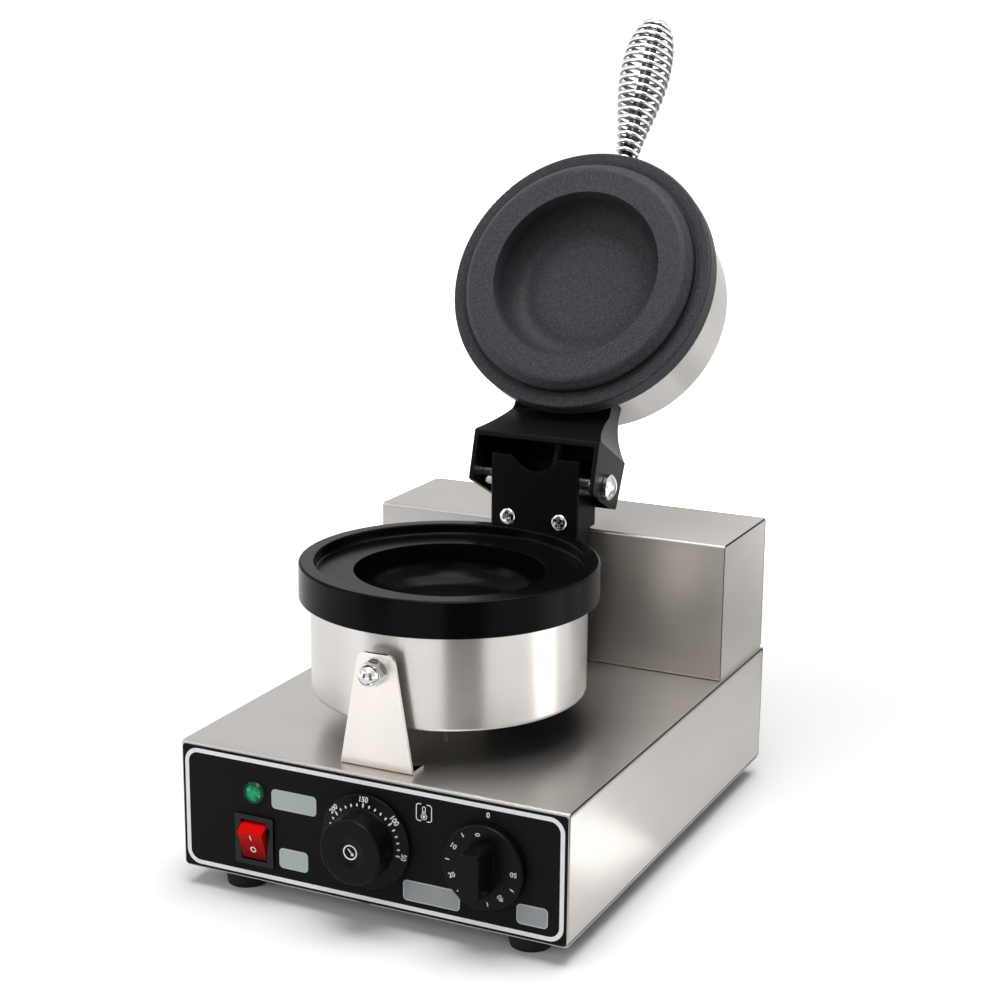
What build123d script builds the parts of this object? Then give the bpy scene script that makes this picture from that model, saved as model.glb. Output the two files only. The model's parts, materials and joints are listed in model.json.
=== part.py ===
from build123d import *
from math import asin, cos, degrees, hypot, pi, radians, sin, tan
import os

os.makedirs("parts", exist_ok=True)

# A countertop press with round moulds: a steel base with the controls on its front, a fixed lower
# drum, and an upper drum that opens backwards on a hinge behind it. Millimetres. X is across, Y runs
# from the front panel to the rear, Z is up. The lid is drawn open, leaning on its stop.
# The origin is on the worktop, under the middle of the whole outline.

# Base box
base_width = 250.0
base_depth = 325.0
base_height = 79.0
sheet = 1.2
bend_radius = 2.0
side_screw_inset = 60.0
flange_width = 12.0
bottom_sheet = 1.0
seat_gap = 0.3
thread_gap = 0.1
running_gap = 0.08

# Rubber feet
foot_height = 12.0
foot_top_radius = 14.0
foot_bottom_radius = 12.0
foot_recess_radius = 5.5
foot_recess_depth = 6.0
foot_side_inset = 31.0
foot_front_inset = 20.0
foot_rear_inset = 24.0

# Box at the rear of the base
rear_box_inset = 1.75
rear_box_width = base_width - 2 * rear_box_inset
rear_box_height = 90.5
back_sheet = 1.0

# Drums and their cast plates
shell_radius = 83.0
ring_overhang = 7.0
ring_radius = shell_radius + ring_overhang
ring_setback = 12.0
drum_setback = ring_radius + ring_setback
drum_lift = 22.5
lower_drum_height = 79.5
upper_drum_height = 68.5
lower_ring_height = 22.0
upper_ring_height = 14.0
plate_wall = 6.0
shell_sheet = 1.2
lower_shell_corner = 2.4
upper_shell_corner = 7.0
cavity_radius = 57.5
cavity_depth = 25.0
cavity_corner = 16.5
cavity_draft = 1.0
rim_inset = 2.0
rim_inner_radius = shell_radius - rim_inset
recess_depth = 6.5
boss_gap = 1.5
boss_radius = rim_inner_radius - boss_gap
boss_height = 9.5
boss_shoulder = 5.0
closed_gap = 4.0

# Lid hinge
hinge_clear = 45.0
hinge_reach = ring_radius + hinge_clear
hinge_to_box = 6.0
hinge_drop = 15.5
open_angle = 119.0
pin_radius = 4.0

# Coil handle on the lid
handle_drop = 32.5
rod_radius = 4.0
wire_radius = 1.5
coil_start = shell_radius + 10.0
coil_belly = coil_start + 75.0
coil_end = coil_start + 112.0
coil_neck_radius = 6.4
coil_belly_radius = 16.5
coil_tip_radius = 4.0
coil_tip_power = 2.3
coil_half_turns = 41
coil_tail = 3.0
rod_end = coil_start + 101.0

# Front bracket of the lower drum
bracket_setback = 10.5
bracket_sheet = 2.0
bracket_foot_length = 13.8
bracket_base_half_width = 23.3
bracket_top_half_width = 11.4
bracket_corner = 5.0
stud_lift = 58.5
bracket_top_gap = 10.5
bracket_height = stud_lift + bracket_top_gap
stud_radius = 4.0
stud_spacer_radius = 6.5
nut_across = 13.0
nut_height = 6.0

# Hinge brackets, folded from black sheet
hinge_sheet = 3.0
post_clearance = 0.1
lower_bracket_ahead = 15.5
lower_bracket_half_width = 31.0
upper_bracket_half_width = 44.0
upper_bracket_neck_half_width = 34.5
mounting_screw_drop = 23.0
mounting_screw_x = 18.4
spacer_radius = 7.0

# Controls
overlay_side_gap = 0.7
overlay_top_gap = 1.7
overlay_width = base_width - 2 * overlay_side_gap
overlay_height = base_height - bottom_sheet - overlay_top_gap
overlay_sheet = 0.5
dial_height = 40.5
thermostat_x = 0.5
timer_inset = 49.5
timer_x = base_width / 2 - timer_inset
spindle_radius = 3.0
bush_radius = 4.8
skirt_radius = 28.5
cap_radius = 20.0
cap_front = 22.0
timer_disc_radius = 25.0
timer_grip_width = 13.0
timer_grip_length = 28.0
timer_front = 23.0
switch_inset = 50.0
switch_x = switch_inset - base_width / 2
switch_height = 25.5
bezel_width = 26.0
bezel_height = 31.0
bezel_front = 2.2
rocker_width = 16.4
rocker_throw = 36.0
rocker_pivot_depth = 4.0
rocker_gap = 0.6
lamp_x = switch_x
lamp_height = 55.0
lens_radius = 7.0
lens_front = 3.4

# Bodies behind the panel
thermostat_body_width = 40.0
thermostat_body_height = 36.0
thermostat_body_depth = 24.0
thermostat_collar = 2.0
timer_body_width = 44.0
timer_body_depth = 30.0

# Screws: radius and height of the head, radius of the shank
small_head = 3.6
small_head_height = 1.8
small_shank = 1.8
small_length = 7.0
bracket_head = 4.0
bracket_head_height = 2.2
bracket_shank = 2.0
bracket_length = 6.0
mounting_head = 4.7
mounting_head_height = 2.3
mounting_shank = 2.5
cross_share = 0.26

# Cables
cable_radius = 3.0
cable_bend = 6.0
lead_radius = 1.6
sleeve_radius = 7.5
element_tube_radius = 4.0
element_inset = 12.5
element_ring_radius = shell_radius - element_inset
element_leg_spread = 4.5
element_leg_radius = 3.0


# Formulas for the coil handle, in the lid's own sizes
def coil_radius(reach):
    """Radius of the wire's middle line where the coil is this far from the lid's centre."""
    if reach < coil_belly:
        share = (reach - coil_start) / (coil_belly - coil_start)
        return coil_neck_radius + (coil_belly_radius - coil_neck_radius) * (1 - cos(pi * share)) / 2
    share = min((reach - coil_belly) / (coil_end - coil_belly), 1.0)
    return coil_belly_radius * (1 - share**coil_tip_power) ** (1 / coil_tip_power)


def coil_profile():
    """Points along the coil's outline as (length so far, reach, radius), up to the tip radius."""
    step = 0.05
    rows = [(0.0, coil_start, coil_radius(coil_start))]
    while rows[-1][1] < coil_belly or rows[-1][2] > coil_tip_radius:
        length, reach, radius = rows[-1]
        next_radius = coil_radius(reach + step)
        rows.append((length + hypot(step, next_radius - radius), reach + step, next_radius))
    return rows


coil_rows = coil_profile()


def coil_point(turns):
    """A point of the wire's middle line in the lid's frame, after this many turns, wound left-handed."""
    total = coil_rows[-1][0]
    target = min(max(turns / (coil_half_turns / 2), 0.0), 1.0) * total
    low, high = 0, len(coil_rows) - 1
    while high - low > 1:
        middle = (low + high) // 2
        if coil_rows[middle][0] <= target:
            low = middle
        else:
            high = middle
    first, last = coil_rows[low], coil_rows[high]
    blend = (target - first[0]) / (last[0] - first[0])
    reach = first[1] + blend * (last[1] - first[1])
    radius = first[2] + blend * (last[2] - first[2])
    angle = -2 * pi * turns
    return Vector(radius * cos(angle), reach, -handle_drop - radius * sin(angle))


def coil_direction(turns):
    """Direction of the wire in the lid's frame, after this many turns."""
    nudge = 1e-4
    low, high = max(turns - nudge, 0.0), min(turns + nudge, coil_half_turns / 2)
    return (coil_point(high) - coil_point(low)).normalized()


# Where the lid lies when it is open, from the closed lid turned back about the hinge
lean = radians(180 - open_angle)
hinge_setback = drum_setback + hinge_reach
coil_samples = [coil_point(index / 48) for index in range(24 * coil_half_turns + 1)]
rear_reach = max(
    hinge_setback + (point.Y + hinge_reach) * cos(lean) - (point.Z + hinge_drop) * sin(lean) + wire_radius
    for point in coil_samples
)

# Main levels and places. The front face lies so that the outline is centred on the origin.
front_y = (timer_front - rear_reach) / 2
rear_y = front_y + base_depth
base_bottom = foot_height
wall_bottom = base_bottom + bottom_sheet
base_top = base_bottom + base_height
base_middle_y = front_y + base_depth / 2
drum_y = front_y + drum_setback
drum_bottom = base_top + drum_lift
ring_top = drum_bottom + lower_drum_height
hinge_y = front_y + hinge_setback
hinge_z = ring_top + closed_gap + hinge_drop
stud_z = base_top + stud_lift
lower_bracket_y = hinge_y - lower_bracket_ahead
box_front_y = hinge_y + hinge_to_box
rear_box_depth = rear_y - box_front_y
box_top = base_top + rear_box_height

lid_along = Vector(0, cos(lean), sin(lean))
lid_out = Vector(0, -sin(lean), cos(lean))
hinge_centre = Vector(0, hinge_y, hinge_z)
lid_centre = hinge_centre + lid_along * hinge_reach + lid_out * hinge_drop

# Frames: x across, y away from the hinge, z out of the mould face
lower_frame = Plane(origin=(0, drum_y, ring_top), x_dir=(-1, 0, 0), z_dir=(0, 0, 1))
lid_frame = Plane(origin=lid_centre, x_dir=(1, 0, 0), z_dir=lid_out)
hinge_side = Plane(origin=hinge_centre, x_dir=lid_along, z_dir=(1, 0, 0))
panel = Plane(origin=(0, front_y, base_bottom), x_dir=(1, 0, 0), z_dir=(0, -1, 0))


def section_of(frame):
    """The plane through a drum's axis: x across, y out of the mould face."""
    return Plane(origin=frame.origin, x_dir=frame.x_dir, z_dir=-frame.y_dir)


def axis_of(frame):
    """The axis of a drum, out of its mould face."""
    return Axis(frame.origin, frame.z_dir)


def dial_section(x, height):
    """The plane through a dial's axis: x across, y out of the front panel."""
    return Plane(origin=(x, front_y, base_bottom + height), x_dir=(1, 0, 0), z_dir=(0, 0, -1))


def dial_axis(x, height):
    """The axis of a dial, out of the front panel."""
    return Axis((x, front_y, base_bottom + height), (0, -1, 0))


def facing(x, y, z, direction):
    """A plane at a point, facing a direction, for a screw or a nut."""
    across = (0, 0, 1) if abs(Vector(direction).X) > 0.5 else (1, 0, 0)
    return Plane(origin=(x, y, z), x_dir=across, z_dir=direction)


# Fasteners, drawn with their seat on the XY plane and their head above it
def pan_screw(head_radius, head_height, shank, length):
    """A pan-head screw with a cross recess."""
    with BuildPart() as screw:
        Cylinder(head_radius, head_height, align=(Align.CENTER, Align.CENTER, Align.MIN))
        fillet(screw.edges().sort_by(Axis.Z)[-1], head_height * 0.6)
        with Locations((0, 0, head_height)):
            for turn in (0, 90):
                Box(
                    head_radius * 1.1, head_radius * cross_share, head_height,
                    rotation=(0, 0, turn), mode=Mode.SUBTRACT,
                )
        Cylinder(shank, length, align=(Align.CENTER, Align.CENTER, Align.MAX))
    return screw.part


def hex_nut(bore, height, across):
    """A plain hexagon nut with chamfered corners."""
    with BuildPart() as nut:
        with BuildSketch():
            RegularPolygon(across / 2, 6, major_radius=False)
        extrude(amount=height)
        with BuildSketch(Plane.XZ):
            with BuildLine():
                Polyline(
                    (0, 0), (across * 0.5, 0), (across * 0.6, across * 0.06),
                    (across * 0.6, height - across * 0.06), (across * 0.5, height), (0, height),
                    close=True,
                )
            make_face()
        revolve(axis=Axis.Z, mode=Mode.INTERSECT)
        Cylinder(bore, 3 * height, mode=Mode.SUBTRACT)
    return nut.part


def ring(inner, outer, height):
    """A washer or bush standing on the XY plane."""
    with BuildPart() as bush:
        Cylinder(outer, height, align=(Align.CENTER, Align.CENTER, Align.MIN))
        Cylinder(inner, 3 * height, mode=Mode.SUBTRACT)
    return bush.part


small_screw = pan_screw(small_head, small_head_height, small_shank, small_length)
bracket_screw = pan_screw(bracket_head, bracket_head_height, bracket_shank, bracket_length)
stud_nut = hex_nut(stud_radius + thread_gap, nut_height, nut_across)

# Base cover: front, top and back folded from one sheet, with lips turned in at the bottom
foot_x = base_width / 2 - foot_side_inset
foot_places = [
    (x, y)
    for x in (-foot_x, foot_x)
    for y in (front_y + foot_front_inset, rear_y - foot_rear_inset)
]
lead_y = drum_y + (element_ring_radius**2 - element_leg_spread**2) ** 0.5
bulb_x = 15.0
bulb_radius = 3.0
bulb_length = 50.0
capillary_radius = 1.0
capillary_bend = 9.0
capillary_y = drum_y - bulb_length / 2 - capillary_bend
bracket_screw_x = 14.0
bracket_screw_setback = 8.5
bracket_screw_y = front_y + bracket_setback + bracket_screw_setback
post_front_y = lower_bracket_y + hinge_sheet
post_half_width = lower_bracket_half_width - hinge_sheet - post_clearance
post_screw_head = 3.2
post_screw_head_height = 2.0
post_screw_x = 21.5
post_screw_y = post_front_y + hinge_sheet + post_screw_head + 0.2
axis_meeting = 8.0
meeting_gap = 0.3
cable_straight = 2.2
cable_x = axis_meeting + meeting_gap + cable_bend + cable_straight
wire_window_width = 150.0
wire_window_inset = 18.0
wire_window_depth = rear_box_depth - 2 * wire_window_inset
lamp_body_radius = 5.5
switch_body_width = 21.6
switch_body_height = 27.4
body_clearance = 0.4
gland_x = -70.0
gland_lift = 34.0
gland_z = base_bottom + gland_lift
gland_bore = 4.5
gland_thread = 8.0
gland_collar = 12.0
gland_collar_length = 5.0
gland_cap = 10.5
gland_cap_length = 15.0
gland_mouth = 7.0
gland_length = 20.0
gland_tail = 12.0

with BuildPart() as base_shell:
    with BuildSketch(Plane.YZ):
        with Locations((base_middle_y, (wall_bottom + base_top) / 2)):
            RectangleRounded(base_depth, base_top - wall_bottom, bend_radius)
            RectangleRounded(
                base_depth - 2 * sheet, base_top - wall_bottom - 2 * sheet,
                bend_radius - sheet, mode=Mode.SUBTRACT,
            )
        with Locations((base_middle_y, wall_bottom)):
            Rectangle(base_depth - 2 * flange_width, 2 * sheet, mode=Mode.SUBTRACT)
    extrude(amount=base_width / 2, both=True)
    with BuildSketch(panel):
        with Locations((thermostat_x, dial_height), (timer_x, dial_height)):
            Circle(bush_radius + thread_gap)
        with Locations((lamp_x, lamp_height)):
            Circle(lamp_body_radius + thread_gap)
        with Locations((switch_x, switch_height)):
            Rectangle(switch_body_width + body_clearance, switch_body_height + body_clearance)
    extrude(amount=-2 * sheet, mode=Mode.SUBTRACT)
    with BuildSketch(Plane.XY.offset(base_top)):
        with Locations((-bracket_screw_x, bracket_screw_y), (bracket_screw_x, bracket_screw_y)):
            Circle(bracket_shank + thread_gap)
        with Locations((0, lead_y)):
            Circle(sleeve_radius + thread_gap)
        with Locations((bulb_x, capillary_y)):
            Circle(capillary_radius + seat_gap)
        with Locations((cable_x, hinge_y)):
            Circle(cable_radius + thread_gap)
        with Locations((-post_screw_x, post_screw_y), (post_screw_x, post_screw_y)):
            Circle(bracket_shank + thread_gap)
        with Locations((0, rear_y - rear_box_depth / 2)):
            Rectangle(wire_window_width, wire_window_depth)
    extrude(amount=-2 * sheet, mode=Mode.SUBTRACT)
    with BuildSketch(Plane.XZ.offset(-rear_y)):
        with Locations((gland_x, gland_z)):
            Circle(gland_thread + thread_gap)
    extrude(amount=2 * sheet, mode=Mode.SUBTRACT)
    with Locations(*[(x, base_middle_y, base_top - sheet) for x in (-base_width / 2, base_width / 2)]):
        Box(
            2 * (flange_width + seat_gap), base_depth - 2 * sheet, base_height,
            align=(Align.CENTER, Align.CENTER, Align.MAX), mode=Mode.SUBTRACT,
        )
base_shell.part.label = "base_shell"
export_step(base_shell.part, "parts/base_shell.step")

# Side sheets of the base, one each side, turned in at top and bottom between front and back
bottom_screw_places = [
    (x, y)
    for x in (-base_width / 2 + flange_width / 2 + 1, base_width / 2 - flange_width / 2 - 1)
    for y in (front_y + side_screw_inset, base_middle_y, rear_y - side_screw_inset)
]
side_depth = base_depth - 2 * sheet - 2 * seat_gap
side_height = base_top - sheet - wall_bottom
with BuildPart() as base_sides:
    with BuildSketch(Plane.XZ.offset(-(base_middle_y + side_depth / 2))):
        with Locations((base_width / 2 - flange_width / 2, wall_bottom + side_height / 2)):
            RectangleRounded(flange_width, side_height, bend_radius)
            RectangleRounded(
                flange_width - 2 * sheet, side_height - 2 * sheet,
                bend_radius - sheet, mode=Mode.SUBTRACT,
            )
        with Locations((base_width / 2 - flange_width, wall_bottom + side_height / 2)):
            Rectangle(2 * bend_radius, side_height, mode=Mode.SUBTRACT)
    extrude(amount=side_depth)
    mirror(about=Plane.YZ)
    with BuildSketch(Plane.XY.offset(wall_bottom)):
        with Locations(*bottom_screw_places):
            Circle(small_shank + thread_gap)
    extrude(amount=2 * sheet, mode=Mode.SUBTRACT)
base_sides.part.label = "base_sides"
export_step(base_sides.part, "parts/base_sides.step")

# Bottom plate, with vent slots, a small notch in its front edge and the holes for its screws
bottom_inset = 0.4
notch_x = -2.0
notch_radius = 3.0
vent_length = 60.0
vent_width = 4.0
vent_pitch = 10.0
with BuildPart() as bottom_plate:
    with BuildSketch(Plane.XY.offset(base_bottom)):
        with Locations((0, base_middle_y)):
            RectangleRounded(base_width - 2 * bottom_inset, base_depth - 2 * bottom_inset, bend_radius)
            with GridLocations(0, vent_pitch, 1, 7):
                SlotOverall(vent_length, vent_width, mode=Mode.SUBTRACT)
        with Locations((notch_x, front_y + bottom_inset)):
            Circle(notch_radius, mode=Mode.SUBTRACT)
        with Locations(*foot_places, *bottom_screw_places):
            Circle(small_shank + thread_gap, mode=Mode.SUBTRACT)
    extrude(amount=bottom_sheet)
bottom_plate.part.label = "bottom_plate"
export_step(bottom_plate.part, "parts/bottom_plate.step")

with BuildPart() as bottom_plate_screws:
    with Locations(*[facing(x, y, base_bottom, (0, 0, -1)).location for x, y in bottom_screw_places]):
        add(small_screw)
bottom_plate_screws.part.label = "bottom_plate_screws"
export_step(bottom_plate_screws.part, "parts/bottom_plate_screws.step")

# Rubber feet, tapered, each with a recess for its screw
with BuildPart() as rubber_feet:
    for x, y in foot_places:
        with BuildSketch(Plane(origin=(x, y, 0))):
            Circle(foot_bottom_radius)
        with BuildSketch(Plane(origin=(x, y, foot_height))):
            Circle(foot_top_radius)
        loft()
        with Locations((x, y, 0)):
            Cylinder(
                foot_recess_radius, foot_recess_depth,
                align=(Align.CENTER, Align.CENTER, Align.MIN), mode=Mode.SUBTRACT,
            )
            Cylinder(small_shank + thread_gap, 3 * foot_height, mode=Mode.SUBTRACT)
rubber_feet.part.label = "rubber_feet"
export_step(rubber_feet.part, "parts/rubber_feet.step")

foot_screw_grip = 4.0
foot_screw_length = foot_height - foot_recess_depth + bottom_sheet + foot_screw_grip
foot_screw = pan_screw(small_head, small_head_height, small_shank, foot_screw_length)
with BuildPart() as foot_screws:
    with Locations(*[facing(x, y, foot_recess_depth, (0, 0, -1)).location for x, y in foot_places]):
        add(foot_screw)
foot_screws.part.label = "foot_screws"
export_step(foot_screws.part, "parts/foot_screws.step")

# Printed overlay on the front, with the openings of the controls
overlay_bottom = bottom_sheet
with BuildPart() as control_overlay:
    with BuildSketch(panel):
        with Locations((0, overlay_bottom + overlay_height / 2)):
            RectangleRounded(overlay_width, overlay_height, bend_radius)
        with Locations((thermostat_x, dial_height), (timer_x, dial_height)):
            Circle(bush_radius + thread_gap, mode=Mode.SUBTRACT)
        with Locations((lamp_x, lamp_height)):
            Circle(lamp_body_radius + thread_gap, mode=Mode.SUBTRACT)
        with Locations((switch_x, switch_height)):
            Rectangle(
                switch_body_width + body_clearance, switch_body_height + body_clearance,
                mode=Mode.SUBTRACT,
            )
    extrude(amount=overlay_sheet)
control_overlay.part.label = "control_overlay"
export_step(control_overlay.part, "parts/control_overlay.step")

# Blank label plates on the overlay: place across and up, width, height
label_sheet = 0.3
label_corner = 2.6
label_plans = [
    (lamp_x + 26.8, 53.7, 30.0, 12.0),
    (switch_x + 26.1, 17.7, 19.3, 12.4),
    (timer_x - 34.2, 14.7, 36.0, 12.5),
    (timer_x + 28.4, 15.3, 19.0, 12.0),
]
with BuildPart() as label_plates:
    with BuildSketch(panel.offset(overlay_sheet)):
        for x, height, width, tall in label_plans:
            with Locations((x, height)):
                RectangleRounded(width, tall, label_corner)
    extrude(amount=label_sheet)
label_plates.part.label = "label_plates"
export_step(label_plates.part, "parts/label_plates.step")

# Rear box: front and top folded from one sheet, two side trays and a screwed back cover
cover_depth = rear_box_depth - back_sheet
with BuildPart() as rear_box_shell:
    with BuildSketch(Plane.YZ):
        with Locations((box_front_y + cover_depth / 2, base_top + rear_box_height / 2)):
            RectangleRounded(cover_depth, rear_box_height, bend_radius)
            RectangleRounded(
                cover_depth - 2 * sheet, rear_box_height - 2 * sheet,
                bend_radius - sheet, mode=Mode.SUBTRACT,
            )
        with Locations((box_front_y + cover_depth, base_top + (rear_box_height - flange_width) / 2)):
            Rectangle(4 * sheet, rear_box_height - flange_width, mode=Mode.SUBTRACT)
        with Locations((box_front_y + cover_depth / 2 + flange_width / 2, base_top)):
            Rectangle(cover_depth - flange_width, 2 * sheet, mode=Mode.SUBTRACT)
    extrude(amount=rear_box_width / 2, both=True)
    with Locations(*[
        (x, box_front_y + sheet, box_top - sheet) for x in (-rear_box_width / 2, rear_box_width / 2)
    ]):
        Box(
            2 * (flange_width + seat_gap), cover_depth, rear_box_height,
            align=(Align.CENTER, Align.MIN, Align.MAX), mode=Mode.SUBTRACT,
        )
rear_box_shell.part.label = "rear_box_shell"
export_step(rear_box_shell.part, "parts/rear_box_shell.step")

tray_depth = cover_depth - sheet - seat_gap
tray_height = rear_box_height - sheet
tray_middle_y = box_front_y + cover_depth - tray_depth / 2
cover_screw_inset = 18.0
cover_screw_places = [
    (x, z)
    for x in (-rear_box_width / 2 + flange_width / 2 + 1, rear_box_width / 2 - flange_width / 2 - 1)
    for z in (base_top + cover_screw_inset, base_top + rear_box_height / 2, box_top - cover_screw_inset)
]
with BuildPart() as rear_box_sides:
    with Locations((rear_box_width / 2 - flange_width / 2, tray_middle_y, base_top + tray_height / 2)):
        Box(flange_width, tray_depth, tray_height)
    fillet(
        rear_box_sides.edges().filter_by(Axis.Y).sort_by(Axis.X)[-2:].sort_by(Axis.Z)[-1], bend_radius / 2
    )
    inner_x = rear_box_width / 2 - sheet - flange_width / 2
    with Locations((inner_x, tray_middle_y - sheet, base_top + tray_height / 2)):
        Box(flange_width, tray_depth, tray_height - 2 * sheet, mode=Mode.SUBTRACT)
    mirror(about=Plane.YZ)
    with BuildSketch(Plane.XZ.offset(-(rear_y - back_sheet))):
        with Locations(*cover_screw_places):
            Circle(small_shank + thread_gap)
    extrude(amount=2 * sheet, mode=Mode.SUBTRACT)
rear_box_sides.part.label = "rear_box_sides"
export_step(rear_box_sides.part, "parts/rear_box_sides.step")

# Back cover of the rear box, with vent slots, screwed to the flanges in front of it
with BuildPart() as rear_box_back_cover:
    with BuildSketch(Plane.XZ.offset(-rear_y)):
        with Locations((0, base_top + rear_box_height / 2)):
            RectangleRounded(rear_box_width, rear_box_height - 2 * seat_gap, bend_radius)
            with GridLocations(0, vent_pitch, 1, 5):
                SlotOverall(vent_length, vent_width, mode=Mode.SUBTRACT)
        with Locations(*cover_screw_places):
            Circle(small_shank + thread_gap, mode=Mode.SUBTRACT)
    extrude(amount=back_sheet)
rear_box_back_cover.part.label = "rear_box_back_cover"
export_step(rear_box_back_cover.part, "parts/rear_box_back_cover.step")

with BuildPart() as rear_box_screws:
    with Locations(*[facing(x, rear_y, z, (0, 1, 0)).location for x, z in cover_screw_places]):
        add(small_screw)
rear_box_screws.part.label = "rear_box_screws"
export_step(rear_box_screws.part, "parts/rear_box_screws.step")

# Front bracket: a tapered upright with a foot bent back under the drum
with BuildPart() as front_bracket:
    upright = Plane(origin=(0, front_y + bracket_setback, base_top), x_dir=(1, 0, 0), z_dir=(0, -1, 0))
    with BuildSketch(upright):
        with BuildLine():
            FilletPolyline(
                (-bracket_base_half_width, 0),
                (bracket_base_half_width, 0),
                (bracket_top_half_width, bracket_height),
                (-bracket_top_half_width, bracket_height),
                radius=[0, 0, bracket_corner, bracket_corner],
                close=True,
            )
        make_face()
    extrude(amount=-bracket_sheet)
    with Locations((0, front_y + bracket_setback, base_top)):
        Box(
            2 * bracket_base_half_width, bracket_foot_length, bracket_sheet,
            align=(Align.CENTER, Align.MIN, Align.MIN),
        )
    fillet(
        front_bracket.edges().filter_by(Axis.X).group_by(Axis.Z)[0].sort_by(Axis.Y)[0],
        bracket_sheet * 0.9,
    )
    with BuildSketch(upright):
        with Locations((0, stud_lift)):
            Circle(stud_radius + thread_gap)
    extrude(amount=-2 * bracket_sheet, mode=Mode.SUBTRACT)
    with Locations(*[(x, bracket_screw_y, base_top) for x in (-bracket_screw_x, bracket_screw_x)]):
        Cylinder(bracket_shank + thread_gap, 3 * bracket_sheet, mode=Mode.SUBTRACT)
front_bracket.part.label = "front_bracket"
export_step(front_bracket.part, "parts/front_bracket.step")

with BuildPart() as front_bracket_screws:
    with Locations(
        (-bracket_screw_x, bracket_screw_y, base_top + bracket_sheet),
        (bracket_screw_x, bracket_screw_y, base_top + bracket_sheet),
    ):
        add(bracket_screw)
front_bracket_screws.part.label = "front_bracket_screws"
export_step(front_bracket_screws.part, "parts/front_bracket_screws.step")

# Stud through bracket and drum, with a spacer, an inner nut and a domed nut outside
washer_radius = 8.2
washer_height = 1.4
dome_radius = 6.3
drum_front_y = drum_y - shell_radius
dome_seat_y = front_y + bracket_setback - washer_height
stud_tail = 2.0
stud_outer_end = nut_height + stud_tail
with BuildPart() as front_stud:
    stud_length = drum_front_y - dome_seat_y + stud_outer_end + shell_sheet + nut_height + stud_tail
    with BuildSketch(Plane.XZ.offset(-(dome_seat_y - stud_outer_end))):
        with Locations((0, stud_z)):
            Circle(stud_radius)
    extrude(amount=-stud_length)
front_stud.part.label = "front_stud"
export_step(front_stud.part, "parts/front_stud.step")

with BuildPart() as dome_nut:
    nut_seat = facing(0, dome_seat_y, stud_z, (0, -1, 0))
    with BuildSketch(nut_seat):
        RegularPolygon(nut_across / 2, 6, major_radius=False)
    extrude(amount=nut_height)
    with Locations(nut_seat.offset(nut_height).location):
        Sphere(dome_radius)
    split(bisect_by=nut_seat, keep=Keep.TOP)
    with BuildSketch(nut_seat):
        Circle(washer_radius)
    extrude(amount=-washer_height)
    with BuildSketch(nut_seat.offset(-washer_height)):
        Circle(stud_radius + thread_gap)
    extrude(amount=washer_height + stud_outer_end + 0.5, mode=Mode.SUBTRACT)
dome_nut.part.label = "dome_nut"
export_step(dome_nut.part, "parts/dome_nut.step")

with BuildPart() as front_spacer:
    spacer_start = front_y + bracket_setback + bracket_sheet
    with Locations(facing(0, spacer_start, stud_z, (0, 1, 0)).location):
        add(ring(stud_radius + thread_gap, stud_spacer_radius, drum_front_y - spacer_start))
front_spacer.part.label = "front_spacer"
export_step(front_spacer.part, "parts/front_spacer.step")


# Shared pieces of the two drums
def cup_section(depth, top, corner):
    """Half section of a pressed steel cup: its rim at -top, its closed end at -depth."""
    inner = shell_radius - shell_sheet
    centre = (shell_radius - corner, corner - depth)
    with BuildSketch() as section:
        with BuildLine():
            Polyline((0, shell_sheet - depth), (0, -depth), (shell_radius - corner, -depth))
            CenterArc(centre, corner, 270, 90)
            Polyline(
                (shell_radius, corner - depth), (shell_radius, -top),
                (inner, -top), (inner, corner - depth),
            )
            CenterArc(centre, corner - shell_sheet, 270, 90)
            Line((shell_radius - corner, shell_sheet - depth), (0, shell_sheet - depth))
        make_face()
    return section.sketch


def cavity_lines(face):
    """Half outline of the round cavity and its underside, opening at the height face."""
    floor = face - cavity_depth
    wall_foot = floor + cavity_corner
    floor_radius = cavity_radius - cavity_draft - cavity_corner
    centre = (floor_radius, wall_foot)
    return floor, wall_foot, floor_radius, centre


def cup_cavity(face, extra):
    """The cavity as a half section, grown by extra on its outside."""
    floor, wall_foot, floor_radius, centre = cavity_lines(face)
    with BuildSketch() as section:
        with BuildLine():
            Polyline((0, face), (0, floor - extra), (floor_radius, floor - extra))
            CenterArc(centre, cavity_corner + extra, 270, 90)
            Polyline(
                (cavity_radius - cavity_draft + extra, wall_foot),
                (cavity_radius + extra, face), (0, face),
            )
        make_face()
    return section.sketch


def bolt_boss(face, boss_length):
    """Half section of the boss under the cavity's floor that takes the centre bolt."""
    underside = face - cavity_depth - plate_wall
    with BuildSketch() as section:
        with Locations((0, underside - boss_length)):
            Rectangle(bolt_boss_radius, boss_length + 1.0, align=(Align.MIN, Align.MIN))
        with Locations((0, underside - boss_length)):
            Rectangle(
                stud_radius + thread_gap, boss_length + 2.0,
                align=(Align.MIN, Align.MIN), mode=Mode.SUBTRACT,
            )
    return section.sketch


boss_length = 10.0
bolt_boss_radius = 9.0
skirt_radius_inside = shell_radius + seat_gap
lower_underside = recess_depth + plate_wall
upper_underside = plate_wall

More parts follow.
